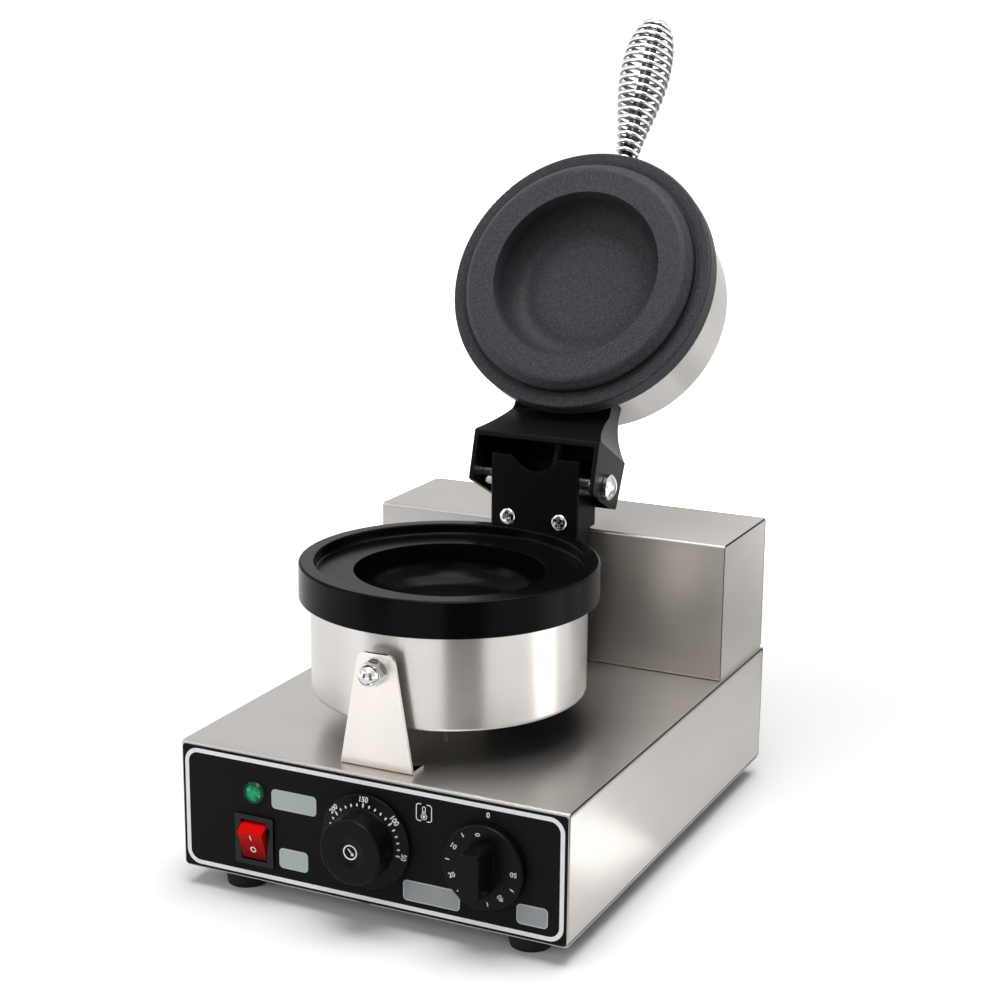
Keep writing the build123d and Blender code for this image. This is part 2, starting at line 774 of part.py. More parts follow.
with BuildPart() as lower_mould_plate:
    with BuildSketch(section_of(lower_frame)):
        with BuildLine():
            FilletPolyline(
                (0, -recess_depth), (rim_inner_radius - 0.6, -recess_depth), (rim_inner_radius, 0),
                (ring_radius, 0), (ring_radius, -lower_ring_height),
                (skirt_radius_inside, -lower_ring_height), (skirt_radius_inside, -lower_underside),
                (0, -lower_underside),
                radius=[0, 1.5, 1.0, 1.5, 0.8, 0.8, 0, 0], close=True,
            )
        make_face()
        add(cup_cavity(-recess_depth, plate_wall))
        add(bolt_boss(-recess_depth, boss_length))
        add(cup_cavity(-recess_depth, 0), mode=Mode.SUBTRACT)
    revolve(axis=axis_of(lower_frame))
lower_mould_plate.part.label = "lower_mould_plate"
export_step(lower_mould_plate.part, "parts/lower_mould_plate.step")

with BuildPart() as upper_mould_plate:
    with BuildSketch(section_of(lid_frame)):
        with BuildLine():
            FilletPolyline(
                (0, boss_height), (boss_radius - boss_shoulder, boss_height),
                (boss_radius, boss_height - boss_shoulder), (boss_radius + 0.5, 0),
                (ring_radius, 0), (ring_radius, -upper_ring_height),
                (skirt_radius_inside, -upper_ring_height), (skirt_radius_inside, -upper_underside),
                (0, -upper_underside),
                radius=[0, 5.0, 3.0, 0.8, 1.5, 0.8, 0.8, 0, 0], close=True,
            )
        make_face()
        add(cup_cavity(boss_height, plate_wall))
        add(bolt_boss(boss_height, boss_length))
        add(cup_cavity(boss_height, 0), mode=Mode.SUBTRACT)
    revolve(axis=axis_of(lid_frame))
upper_mould_plate.part.label = "upper_mould_plate"
export_step(upper_mould_plate.part, "parts/upper_mould_plate.step")

# Steel cups of the drums, with the holes for studs, leads, handle and bolts
with BuildPart() as lower_drum_shell:
    with BuildSketch(section_of(lower_frame)):
        add(cup_section(lower_drum_height, lower_underside, lower_shell_corner))
    revolve(axis=axis_of(lower_frame))
    with BuildSketch(Plane.XZ.offset(-drum_y)):
        with Locations((0, stud_z)):
            Circle(stud_radius + thread_gap)
    extrude(amount=2 * shell_radius, both=True, mode=Mode.SUBTRACT)
    with BuildSketch(Plane.XY.offset(drum_bottom)):
        with Locations((0, drum_y)):
            Circle(stud_radius + thread_gap)
        with Locations((0, lead_y)):
            Circle(sleeve_radius + thread_gap)
        with Locations((bulb_x, capillary_y)):
            Circle(capillary_radius + seat_gap)
    extrude(amount=3 * shell_sheet, both=True, mode=Mode.SUBTRACT)
lower_drum_shell.part.label = "lower_drum_shell"
export_step(lower_drum_shell.part, "parts/lower_drum_shell.step")

lid_cable_drop = 28.5
neck_screw_angle = 15.0
neck_screw_radius = 2.5
neck_screw_head = 4.2
neck_screw_head_height = 2.4
neck_screw_length = 6.5
neck_screw_seat = ((shell_radius - shell_sheet) ** 2 - neck_screw_head**2) ** 0.5
neck_screw_places = [
    Plane(
        origin=lid_centre - lid_out * handle_drop
        + (Vector(side * sin(radians(neck_screw_angle)), 0, 0) - lid_along * cos(radians(neck_screw_angle)))
        * neck_screw_seat,
        x_dir=lid_out,
        z_dir=Vector(-side * sin(radians(neck_screw_angle)), 0, 0)
        + lid_along * cos(radians(neck_screw_angle)),
    )
    for side in (-1, 1)
]
with BuildPart() as upper_drum_shell:
    with BuildSketch(section_of(lid_frame)):
        add(cup_section(upper_drum_height, upper_underside, upper_shell_corner))
    revolve(axis=axis_of(lid_frame))
    with BuildSketch(lid_frame.offset(-upper_drum_height)):
        Circle(stud_radius + thread_gap)
    extrude(amount=3 * shell_sheet, both=True, mode=Mode.SUBTRACT)
    with BuildSketch(Plane(origin=lid_centre, x_dir=(1, 0, 0), z_dir=lid_along)):
        with Locations((0, handle_drop)):
            Circle(rod_radius + thread_gap)
    extrude(amount=shell_radius + 1, mode=Mode.SUBTRACT)
    with BuildSketch(Plane(origin=lid_centre, x_dir=(1, 0, 0), z_dir=-lid_along)):
        with Locations((0, -lid_cable_drop)):
            Circle(cable_radius + thread_gap)
    extrude(amount=shell_radius + 1, mode=Mode.SUBTRACT)
    with Locations(*[place.location for place in neck_screw_places]):
        Cylinder(neck_screw_radius + thread_gap, 6 * shell_sheet, mode=Mode.SUBTRACT)
upper_drum_shell.part.label = "upper_drum_shell"
export_step(upper_drum_shell.part, "parts/upper_drum_shell.step")


def heating_element(frame, underside, leg_end):
    """A tube bent to an open ring under the plate, with two legs at the hinge side."""
    start = -90 + degrees(asin(element_leg_spread / element_ring_radius))
    turn = radians(start)
    across = frame.x_dir * cos(turn) + frame.y_dir * sin(turn)
    normal = frame.x_dir * sin(turn) - frame.y_dir * cos(turn)
    height = -underside - element_tube_radius
    with BuildPart() as element:
        with BuildSketch(Plane(origin=frame.origin, x_dir=across, z_dir=normal)):
            with Locations((element_ring_radius, height)):
                Circle(element_tube_radius)
        revolve(axis=axis_of(frame), revolution_arc=360 - 2 * (90 + start))
        leg_row = -((element_ring_radius**2 - element_leg_spread**2) ** 0.5)
        with BuildSketch(frame.offset(height)):
            with Locations((-element_leg_spread, leg_row), (element_leg_spread, leg_row)):
                Circle(element_leg_radius)
        extrude(amount=-leg_end - height)
    return element.part


lower_leg_end = 45.0
upper_leg_end = 24.0
with BuildPart() as lower_heating_element:
    add(heating_element(lower_frame, lower_underside, lower_leg_end))
lower_heating_element.part.label = "lower_heating_element"
export_step(lower_heating_element.part, "parts/lower_heating_element.step")

with BuildPart() as upper_heating_element:
    add(heating_element(lid_frame, upper_underside, upper_leg_end))
upper_heating_element.part.label = "upper_heating_element"
export_step(upper_heating_element.part, "parts/upper_heating_element.step")

# Ceramic fibre packing at the closed end of each drum
packing_radius = shell_radius - shell_sheet - 0.5
lower_packing = 23.0
upper_packing = 19.0
with BuildPart() as lower_insulation:
    with BuildSketch(lower_frame.offset(-(lower_drum_height - shell_sheet))):
        Circle(packing_radius)
        Circle(stud_radius + 1.0, mode=Mode.SUBTRACT)
        with Locations((0, drum_y - lead_y)):
            Circle(sleeve_radius + thread_gap, mode=Mode.SUBTRACT)
        with Locations((-bulb_x, drum_y - capillary_y)):
            Circle(capillary_radius + seat_gap, mode=Mode.SUBTRACT)
    extrude(amount=lower_packing)
    chamfer(lower_insulation.edges().group_by(Axis.Z)[0].sort_by(SortBy.LENGTH)[-1], lower_shell_corner)
lower_insulation.part.label = "lower_insulation"
export_step(lower_insulation.part, "parts/lower_insulation.step")

with BuildPart() as upper_insulation:
    with BuildSketch(lid_frame.offset(-(upper_drum_height - shell_sheet))):
        Circle(packing_radius)
        Circle(stud_radius + 1.0, mode=Mode.SUBTRACT)
    extrude(amount=upper_packing)
    chamfer(
        upper_insulation.edges().group_by(Axis(lid_centre, lid_out))[0].sort_by(SortBy.LENGTH)[-1],
        upper_shell_corner,
    )
upper_insulation.part.label = "upper_insulation"
export_step(upper_insulation.part, "parts/upper_insulation.step")


def centre_bolt(frame, depth, tip):
    """The bolt and washer that pull a cast plate down on its cup."""
    seat = frame.offset(-depth)
    under = Plane(origin=seat.origin, x_dir=frame.x_dir, z_dir=-frame.z_dir)
    with BuildPart() as bolt:
        with BuildSketch(under.offset(washer_height)):
            RegularPolygon(nut_across / 2, 6, major_radius=False)
        extrude(amount=nut_height - 1)
        with BuildSketch(under):
            Circle(washer_radius)
        extrude(amount=washer_height)
        with BuildSketch(seat):
            Circle(stud_radius)
        extrude(amount=depth - tip)
    return bolt.part


bolt_engagement = 8.0
with BuildPart() as lower_centre_bolt:
    lower_tip = recess_depth + cavity_depth + plate_wall + boss_length - bolt_engagement
    add(centre_bolt(lower_frame, lower_drum_height, lower_tip))
lower_centre_bolt.part.label = "lower_centre_bolt"
export_step(lower_centre_bolt.part, "parts/lower_centre_bolt.step")

with BuildPart() as upper_centre_bolt:
    upper_tip = cavity_depth + plate_wall - boss_height + boss_length - bolt_engagement
    add(centre_bolt(lid_frame, upper_drum_height, upper_tip))
upper_centre_bolt.part.label = "upper_centre_bolt"
export_step(upper_centre_bolt.part, "parts/upper_centre_bolt.step")

# Leads of the lower element, down through a sleeve into the base
lead_tail = 22.0
lead_end = base_top - lead_tail
lower_leg_tip = ring_top - lower_leg_end
with BuildPart() as lower_heater_leads:
    with BuildSketch(Plane.XY.offset(lead_end)):
        with Locations((-element_leg_spread, lead_y), (element_leg_spread, lead_y)):
            Circle(lead_radius)
    extrude(amount=lower_leg_tip - lead_end)
lower_heater_leads.part.label = "lower_heater_leads"
export_step(lower_heater_leads.part, "parts/lower_heater_leads.step")

sleeve_wall = 1.0
sleeve_tail = 10.0
with BuildPart() as lead_sleeve:
    with BuildSketch(Plane.XY.offset(base_top - sleeve_tail)):
        with Locations((0, lead_y)):
            Circle(sleeve_radius)
            Circle(sleeve_radius - sleeve_wall, mode=Mode.SUBTRACT)
    extrude(amount=drum_lift + sleeve_tail + shell_sheet + lower_packing)
lead_sleeve.part.label = "lead_sleeve"
export_step(lead_sleeve.part, "parts/lead_sleeve.step")

# Thermostat bulb against the lower cavity's floor, with its capillary down to the thermostat
bulb_z = ring_top - recess_depth - cavity_depth - plate_wall - bulb_radius
thermostat_back_y = front_y + sheet + thermostat_body_depth + thermostat_collar
with BuildPart() as thermostat_bulb:
    with Locations((bulb_x, drum_y, bulb_z)):
        Cylinder(bulb_radius, bulb_length, rotation=(90, 0, 0))
    with BuildLine(Plane.YZ.offset(bulb_x)) as capillary_path:
        FilletPolyline(
            (drum_y - bulb_length / 2 + 1.0, bulb_z),
            (capillary_y, bulb_z),
            (capillary_y, base_bottom + dial_height),
            (thermostat_back_y, base_bottom + dial_height),
            radius=[capillary_bend - 1.0, capillary_bend],
        )
    with BuildSketch(Plane(origin=capillary_path.line @ 0, z_dir=capillary_path.line % 0)):
        Circle(capillary_radius)
    sweep()
thermostat_bulb.part.label = "thermostat_bulb"
export_step(thermostat_bulb.part, "parts/thermostat_bulb.step")

# Rear stud, spacer and nuts between the drum and the hinge post
drum_rear_y = drum_y + shell_radius
post_inner_y = post_front_y + hinge_sheet
with BuildPart() as rear_stud:
    with BuildSketch(Plane.XZ.offset(-(drum_rear_y - shell_sheet - nut_height - stud_tail))):
        with Locations((0, stud_z)):
            Circle(stud_radius)
    extrude(amount=-(post_inner_y - drum_rear_y + shell_sheet + 2 * nut_height + 2 * stud_tail))
rear_stud.part.label = "rear_stud"
export_step(rear_stud.part, "parts/rear_stud.step")

with BuildPart() as rear_spacer:
    with Locations(facing(0, drum_rear_y, stud_z, (0, 1, 0)).location):
        add(ring(stud_radius + thread_gap, stud_spacer_radius, lower_bracket_y - drum_rear_y))
rear_spacer.part.label = "rear_spacer"
export_step(rear_spacer.part, "parts/rear_spacer.step")

cup_inner = shell_radius - shell_sheet
inner_flat = cup_inner - (cup_inner**2 - nut_across**2 / 3) ** 0.5
with BuildPart() as stud_nuts:
    with Locations(
        facing(0, drum_front_y + shell_sheet + inner_flat, stud_z, (0, 1, 0)).location,
        facing(0, drum_rear_y - shell_sheet - inner_flat, stud_z, (0, -1, 0)).location,
        facing(0, post_inner_y, stud_z, (0, 1, 0)).location,
    ):
        add(stud_nut)
stud_nuts.part.label = "stud_nuts"
export_step(stud_nuts.part, "parts/stud_nuts.step")

# Hinge post: a channel on the base that carries the drum's rear stud and the hinge bracket
post_top_drop = 12.5
post_top = hinge_z - post_top_drop
post_depth = box_front_y - post_front_y
with BuildPart() as hinge_post:
    with BuildSketch(Plane.XY.offset(base_top)):
        with Locations((0, post_front_y + post_depth / 2)):
            Rectangle(2 * post_half_width, post_depth)
        with Locations((0, post_inner_y + post_depth / 2)):
            Rectangle(2 * (post_half_width - hinge_sheet), post_depth, mode=Mode.SUBTRACT)
    extrude(amount=post_top - base_top)
    with BuildSketch(Plane.XY.offset(base_top)):
        with Locations((0, post_front_y + post_depth / 2)):
            Rectangle(2 * post_half_width, post_depth)
    extrude(amount=hinge_sheet)
    with BuildSketch(Plane.XY.offset(base_top)):
        with Locations((cable_x, hinge_y)):
            Circle(cable_radius + thread_gap)
        with Locations((-post_screw_x, post_screw_y), (post_screw_x, post_screw_y)):
            Circle(bracket_shank + thread_gap)
    extrude(amount=hinge_sheet, mode=Mode.SUBTRACT)
    with BuildSketch(Plane.XZ.offset(-post_front_y)):
        with Locations((0, stud_z)):
            Circle(stud_radius + thread_gap)
        with Locations(*[(x, hinge_z - mounting_screw_drop) for x in (-mounting_screw_x, mounting_screw_x)]):
            Circle(mounting_shank + thread_gap)
    extrude(amount=-hinge_sheet, mode=Mode.SUBTRACT)
hinge_post.part.label = "hinge_post"
export_step(hinge_post.part, "parts/hinge_post.step")

with BuildPart() as hinge_post_screws:
    with Locations(*[(x, post_screw_y, base_top + hinge_sheet) for x in (-post_screw_x, post_screw_x)]):
        add(pan_screw(post_screw_head, post_screw_head_height, bracket_shank, small_length))
hinge_post_screws.part.label = "hinge_post_screws"
export_step(hinge_post_screws.part, "parts/hinge_post_screws.step")

# Lower hinge bracket: a black channel over the post, notched at the top for the lid's cable
bracket_lip = 17.7
ear_rear = 13.0
ear_shoulder = 13.0
box_step = 1.5
notch_half_width = 17.0
notch_foot_half_width = 10.0
notch_foot_drop = 6.2
notch_depth = 9.6
with BuildPart() as lower_hinge_bracket:
    with BuildSketch(Plane.YZ):
        with BuildLine():
            FilletPolyline(
                (lower_bracket_y, base_top),
                (box_front_y - seat_gap, base_top),
                (box_front_y - seat_gap, box_top + box_step),
                (hinge_y + ear_rear, box_top + box_step),
                (hinge_y + ear_rear, hinge_z + ear_shoulder),
                (hinge_y, hinge_z + bracket_lip),
                (lower_bracket_y, hinge_z + bracket_lip),
                radius=[0, 0, 0, 2.0, 2.0, 3.0, 0], close=True,
            )
        make_face()
    extrude(amount=lower_bracket_half_width, both=True)
    fillet(lower_hinge_bracket.edges().filter_by(Axis.Z).group_by(Axis.Y)[0], hinge_sheet * 0.5)
    with BuildSketch(Plane.XY.offset(base_top)):
        with Locations((0, post_front_y)):
            Rectangle(
                2 * (lower_bracket_half_width - hinge_sheet), 2 * post_depth,
                align=(Align.CENTER, Align.MIN),
            )
    extrude(amount=2 * (hinge_z - base_top), mode=Mode.SUBTRACT)
    notch_plane = Plane(origin=(0, lower_bracket_y, hinge_z + bracket_lip), x_dir=(1, 0, 0), z_dir=(0, -1, 0))
    with BuildSketch(notch_plane):
        with BuildLine():
            Polyline(
                (notch_foot_half_width, -notch_foot_drop), (notch_half_width, 0),
                (notch_half_width, 1), (-notch_half_width, 1), (-notch_half_width, 0),
                (-notch_foot_half_width, -notch_foot_drop),
            )
            ThreePointArc(
                (-notch_foot_half_width, -notch_foot_drop), (0, -notch_depth),
                (notch_foot_half_width, -notch_foot_drop),
            )
        make_face()
    extrude(amount=-2 * hinge_sheet, mode=Mode.SUBTRACT)
    with BuildSketch(Plane.YZ):
        with Locations((hinge_y, hinge_z)):
            Circle(pin_radius + thread_gap)
    extrude(amount=2 * lower_bracket_half_width, both=True, mode=Mode.SUBTRACT)
    with BuildSketch(Plane.XZ.offset(-lower_bracket_y)):
        with Locations((0, stud_z)):
            Circle(stud_radius + thread_gap)
        with Locations(*[(x, hinge_z - mounting_screw_drop) for x in (-mounting_screw_x, mounting_screw_x)]):
            Circle(mounting_shank + thread_gap)
    extrude(amount=-hinge_sheet, mode=Mode.SUBTRACT)
lower_hinge_bracket.part.label = "lower_hinge_bracket"
export_step(lower_hinge_bracket.part, "parts/lower_hinge_bracket.step")

with BuildPart() as hinge_bracket_screws:
    with Locations(*[
        facing(x, lower_bracket_y, hinge_z - mounting_screw_drop, (0, -1, 0)).location
        for x in (-mounting_screw_x, mounting_screw_x)
    ]):
        add(pan_screw(mounting_head, mounting_head_height, mounting_shank, 2 * hinge_sheet + 2.0))
hinge_bracket_screws.part.label = "hinge_bracket_screws"
export_step(hinge_bracket_screws.part, "parts/hinge_bracket_screws.step")

# Hinge bolts: a slotted domed head outside each ear, a spacer between ear and bracket, a nut inside
ear_inner_x = upper_bracket_half_width - hinge_sheet
bolt_head_radius = 8.3
bolt_rim = 2.6
bolt_dome = 3.6
slot_width = 1.8
slot_depth = 1.6
slot_angle = 35.0
bolt_tail = 1.0
bolt_end_x = lower_bracket_half_width - hinge_sheet - nut_height - bolt_tail
with BuildPart() as hinge_bolts:
    with BuildSketch(Plane(origin=hinge_centre, x_dir=(1, 0, 0), z_dir=(0, -1, 0))):
        with BuildLine():
            head_x = upper_bracket_half_width + seat_gap
            Polyline(
                (head_x + bolt_rim + bolt_dome, 0), (bolt_end_x, 0), (bolt_end_x, pin_radius),
                (head_x, pin_radius), (head_x, bolt_head_radius), (head_x + bolt_rim, bolt_head_radius),
            )
            ThreePointArc(
                (head_x + bolt_rim, bolt_head_radius),
                (head_x + bolt_rim + bolt_dome * 0.75, bolt_head_radius * 0.52),
                (head_x + bolt_rim + bolt_dome, 0),
            )
        make_face()
    revolve(axis=Axis(hinge_centre, (1, 0, 0)))
    with Locations((head_x + bolt_rim + bolt_dome, hinge_y, hinge_z)):
        Box(
            2 * slot_depth, slot_width, 3 * bolt_head_radius,
            rotation=(-slot_angle, 0, 0), mode=Mode.SUBTRACT,
        )
    mirror(about=Plane.YZ)
hinge_bolts.part.label = "hinge_bolts"
export_step(hinge_bolts.part, "parts/hinge_bolts.step")

with BuildPart() as hinge_spacers:
    with Locations(facing(lower_bracket_half_width, hinge_y, hinge_z, (1, 0, 0)).location):
        add(ring(pin_radius + thread_gap, spacer_radius, ear_inner_x - lower_bracket_half_width - seat_gap))
    mirror(about=Plane.YZ)
hinge_spacers.part.label = "hinge_spacers"
export_step(hinge_spacers.part, "parts/hinge_spacers.step")

with BuildPart() as hinge_nuts:
    with Locations(facing(lower_bracket_half_width - hinge_sheet, hinge_y, hinge_z, (-1, 0, 0)).location):
        add(hex_nut(pin_radius + thread_gap, nut_height, nut_across))
    mirror(about=Plane.YZ)
hinge_nuts.part.label = "hinge_nuts"
export_step(hinge_nuts.part, "parts/hinge_nuts.step")

# Upper hinge bracket: web below, roof above, two ears, waisted towards the drum.
# Corners of its side outline from the hinge axis: along the lid, out of the mould face.
web_tip = (hinge_clear - 23.6, 26.7)
ear_front = (-10.3, 19.4)
ear_back = (-8.8, -24.1)
roof_bend = (hinge_clear - 16.7, -22.5)
roof_neck = (hinge_clear + 6.5, -19.5)
web_neck = (hinge_clear + 2.5, -3.0)
neck_overlap = 14.0
neck_end = hinge_reach - shell_radius + neck_overlap
waist_start = hinge_clear - 22.0
waist_end = hinge_clear + 7.0


def inner_corner(before, corner, after):
    """Where the inner faces of two walls meet, for an outline that runs with its inside on the left."""
    first = (Vector(*corner) - Vector(*before)).normalized()
    second = (Vector(*after) - Vector(*corner)).normalized()
    left_first = Vector(-first.Y, first.X)
    left_second = Vector(-second.Y, second.X)
    shift = (left_first + left_second) * (hinge_sheet / (1 + left_first.dot(left_second)))
    return Vector(*corner) + shift


neck_low = (neck_end, web_neck[1])
neck_high = (neck_end, roof_neck[1])
web_direction = (Vector(*web_neck) - Vector(*web_tip)).normalized()
roof_direction = (Vector(*roof_bend) - Vector(*ear_back)).normalized()
opening_reach = 20.0
web_inner_start = Vector(*web_tip) + Vector(web_direction.Y, -web_direction.X) * hinge_sheet
roof_inner_start = Vector(*ear_back) + Vector(-roof_direction.Y, roof_direction.X) * hinge_sheet
neck_inner_low = Vector(neck_end, web_neck[1] - hinge_sheet)
neck_inner_high = Vector(neck_end, roof_neck[1] + hinge_sheet)
web_inner_neck = inner_corner(neck_low, web_neck, web_tip)
roof_inner_bend = inner_corner(ear_back, roof_bend, roof_neck)
roof_inner_neck = inner_corner(roof_bend, roof_neck, neck_high)

with BuildPart() as bracket_hollow:
    with BuildSketch(lid_frame.offset(-3 * handle_drop)):
        with BuildLine():
            inner_half = upper_bracket_half_width - hinge_sheet
            inner_neck = upper_bracket_neck_half_width - hinge_sheet
            waist_foot = (inner_half, waist_start - hinge_reach)
            neck_foot = (inner_neck, waist_end - hinge_reach)
            Line((inner_neck, neck_end - hinge_reach), neck_foot)
            TangentArc(neck_foot, waist_foot, tangent=(0, -1))
            Polyline(
                waist_foot, (inner_half, -2 * hinge_reach),
                (-inner_half, -2 * hinge_reach), (-inner_half, waist_start - hinge_reach),
            )
            TangentArc(
                (-neck_foot[0], neck_foot[1]), (-waist_foot[0], waist_foot[1]), tangent=(0, -1)
            )
            Polyline(
                (-neck_foot[0], neck_foot[1]), (-inner_neck, neck_end - hinge_reach),
                (inner_neck, neck_end - hinge_reach),
            )
        make_face()
    extrude(amount=6 * handle_drop)
    with BuildSketch(hinge_side):
        with BuildLine():
            Polyline(
                neck_inner_low, web_inner_neck,
                web_inner_start, web_inner_start - web_direction * opening_reach,
                Vector(*ear_front) * 4,
                roof_inner_start - roof_direction * opening_reach, roof_inner_bend,
                roof_inner_neck, neck_inner_high,
                close=True,
            )
        make_face()
    extrude(amount=upper_bracket_half_width, both=True, mode=Mode.INTERSECT)
    with BuildSketch(lid_frame.offset(-3 * handle_drop)):
        Circle(shell_radius + hinge_sheet)
    extrude(amount=6 * handle_drop, mode=Mode.SUBTRACT)

with BuildPart() as upper_hinge_bracket:
    with BuildSketch(lid_frame.offset(-3 * handle_drop)):
        with BuildLine():
            outer_waist = (upper_bracket_half_width, waist_start - hinge_reach)
            outer_neck = (upper_bracket_neck_half_width, waist_end - hinge_reach)
            Line((outer_neck[0], neck_end - hinge_reach), outer_neck)
            TangentArc(outer_neck, outer_waist, tangent=(0, -1))
            Polyline(
                outer_waist, (outer_waist[0], -2 * hinge_reach),
                (-outer_waist[0], -2 * hinge_reach), (-outer_waist[0], outer_waist[1]),
            )
            TangentArc(
                (-outer_neck[0], outer_neck[1]), (-outer_waist[0], outer_waist[1]), tangent=(0, -1)
            )
            Polyline(
                (-outer_neck[0], outer_neck[1]), (-outer_neck[0], neck_end - hinge_reach),
                (outer_neck[0], neck_end - hinge_reach),
            )
        make_face()
    extrude(amount=6 * handle_drop)
    with BuildSketch(hinge_side):
        with BuildLine():
            FilletPolyline(
                neck_low, web_neck, web_tip, ear_front, ear_back, roof_bend, roof_neck, neck_high,
                radius=[0, 6.0, 1.2, 2.5, 2.5, 4.0, 4.0, 0], close=True,
            )
        make_face()
    extrude(amount=upper_bracket_half_width, both=True, mode=Mode.INTERSECT)
    add(bracket_hollow.part, mode=Mode.SUBTRACT)
    with BuildSketch(lid_frame.offset(-3 * handle_drop)):
        Circle(shell_radius + thread_gap)
    extrude(amount=6 * handle_drop, mode=Mode.SUBTRACT)
    with BuildSketch(hinge_side):
        Circle(pin_radius + running_gap)
    extrude(amount=2 * upper_bracket_half_width, both=True, mode=Mode.SUBTRACT)
    with Locations(*[place.location for place in neck_screw_places]):
        Cylinder(
            neck_screw_radius + thread_gap, 8.0,
            align=(Align.CENTER, Align.CENTER, Align.MAX), mode=Mode.SUBTRACT,
        )
    with BuildSketch(Plane(origin=lid_centre, x_dir=(1, 0, 0), z_dir=-lid_along)):
        with Locations((0, -lid_cable_drop)):
            Circle(cable_radius + thread_gap)
    extrude(amount=shell_radius + 2 * hinge_sheet, mode=Mode.SUBTRACT)
upper_hinge_bracket.part.label = "upper_hinge_bracket"
export_step(upper_hinge_bracket.part, "parts/upper_hinge_bracket.step")

with BuildPart() as upper_bracket_screws:
    with Locations(*[place.location for place in neck_screw_places]):
        add(pan_screw(neck_screw_head, neck_screw_head_height, neck_screw_radius, neck_screw_length))
upper_bracket_screws.part.label = "upper_bracket_screws"
export_step(upper_bracket_screws.part, "parts/upper_bracket_screws.step")

# Lid cable: out of the drum, along the bracket and down to the hinge axis, where it meets its other half
cable_run = hinge_drop - lid_cable_drop
cable_inside = 17.0
cable_start = hinge_reach - shell_radius + cable_inside
with BuildPart() as lid_cable:
    cable_corners = [(0, cable_start, cable_run), (0, 0, cable_run), (0, 0, 0), (axis_meeting, 0, 0)]
    cable_points = [
        hinge_centre + Vector(x, 0, 0) + lid_along * along + lid_out * out for x, along, out in cable_corners
    ]
    with BuildLine() as lid_cable_path:
        FilletPolyline(*cable_points, radius=[cable_bend, cable_bend])
    with BuildSketch(Plane(origin=lid_cable_path.line @ 0, z_dir=lid_cable_path.line % 0)):
        Circle(cable_radius)
    sweep()
lid_cable.part.label = "lid_cable"
export_step(lid_cable.part, "parts/lid_cable.step")

terminal_width = 48.0
terminal_depth = 20.0
terminal_height = 18.0
terminal_hole = 2.6
terminal_pitch = 9.0
terminal_hole_depth = 3.0
terminal_top = base_bottom + bottom_sheet + terminal_height
with BuildPart() as post_cable:
    with BuildLine() as post_cable_path:
        FilletPolyline(
            (axis_meeting + meeting_gap, hinge_y, hinge_z), (cable_x, hinge_y, hinge_z),
            (cable_x, hinge_y, terminal_top), radius=[cable_bend],
        )
    with BuildSketch(Plane(origin=post_cable_path.line @ 0, z_dir=post_cable_path.line % 0)):
        Circle(cable_radius)
    sweep()
post_cable.part.label = "post_cable"
export_step(post_cable.part, "parts/post_cable.step")

# Terminal block on the bottom plate
with BuildPart() as terminal_block:
    with Locations((cable_x, hinge_y, base_bottom + bottom_sheet)):
        Box(
            terminal_width, terminal_depth, terminal_height,
            align=(Align.CENTER, Align.CENTER, Align.MIN),
        )
    with Locations((cable_x, hinge_y - terminal_depth / 2 + terminal_hole, terminal_top)):
        with GridLocations(terminal_pitch, 0, 5, 1):
            Cylinder(terminal_hole, 2 * terminal_hole_depth, mode=Mode.SUBTRACT)
terminal_block.part.label = "terminal_block"
export_step(terminal_block.part, "parts/terminal_block.step")

# Cable gland in the back of the base, with its bore free for a supply lead
with BuildPart() as cable_gland:
    with BuildSketch(Plane(origin=(gland_x, rear_y, gland_z), x_dir=(0, 1, 0), z_dir=(1, 0, 0))):
        with BuildLine():
            FilletPolyline(
                (-gland_tail, gland_bore), (gland_length, gland_bore), (gland_length, gland_mouth),
                (gland_cap_length, gland_cap), (gland_collar_length, gland_cap),
                (gland_collar_length, gland_collar), (0, gland_collar),
                (0, gland_thread), (-gland_tail, gland_thread),
                radius=[0, 0, 1.5, 1.5, 0, 0, 0, 0, 0], close=True,
            )
        make_face()
    revolve(axis=Axis((gland_x, rear_y, gland_z), (0, 1, 0)))
cable_gland.part.label = "cable_gland"
export_step(cable_gland.part, "parts/cable_gland.step")

# Handle: a threaded rod held by nuts on both sides of the cup, with a bellied coil of wire around it
handle_axis = Plane(origin=lid_centre - lid_out * handle_drop, x_dir=(1, 0, 0), z_dir=lid_along)
handle_inner = (shell_radius - shell_sheet) ** 2 - (nut_across / 3**0.5) ** 2
handle_inner = handle_inner**0.5 - nut_height
collar_top = coil_start - wire_radius - coil_tail * coil_direction(0).Y - seat_gap
with BuildPart() as handle_rod:
    with BuildSketch(handle_axis.offset(handle_inner - 2.0)):
        Circle(rod_radius)
    extrude(amount=rod_end - handle_inner + 2.0)
    chamfer(handle_rod.edges().filter_by(GeomType.CIRCLE), 0.8)
handle_rod.part.label = "handle_rod"
export_step(handle_rod.part, "parts/handle_rod.step")

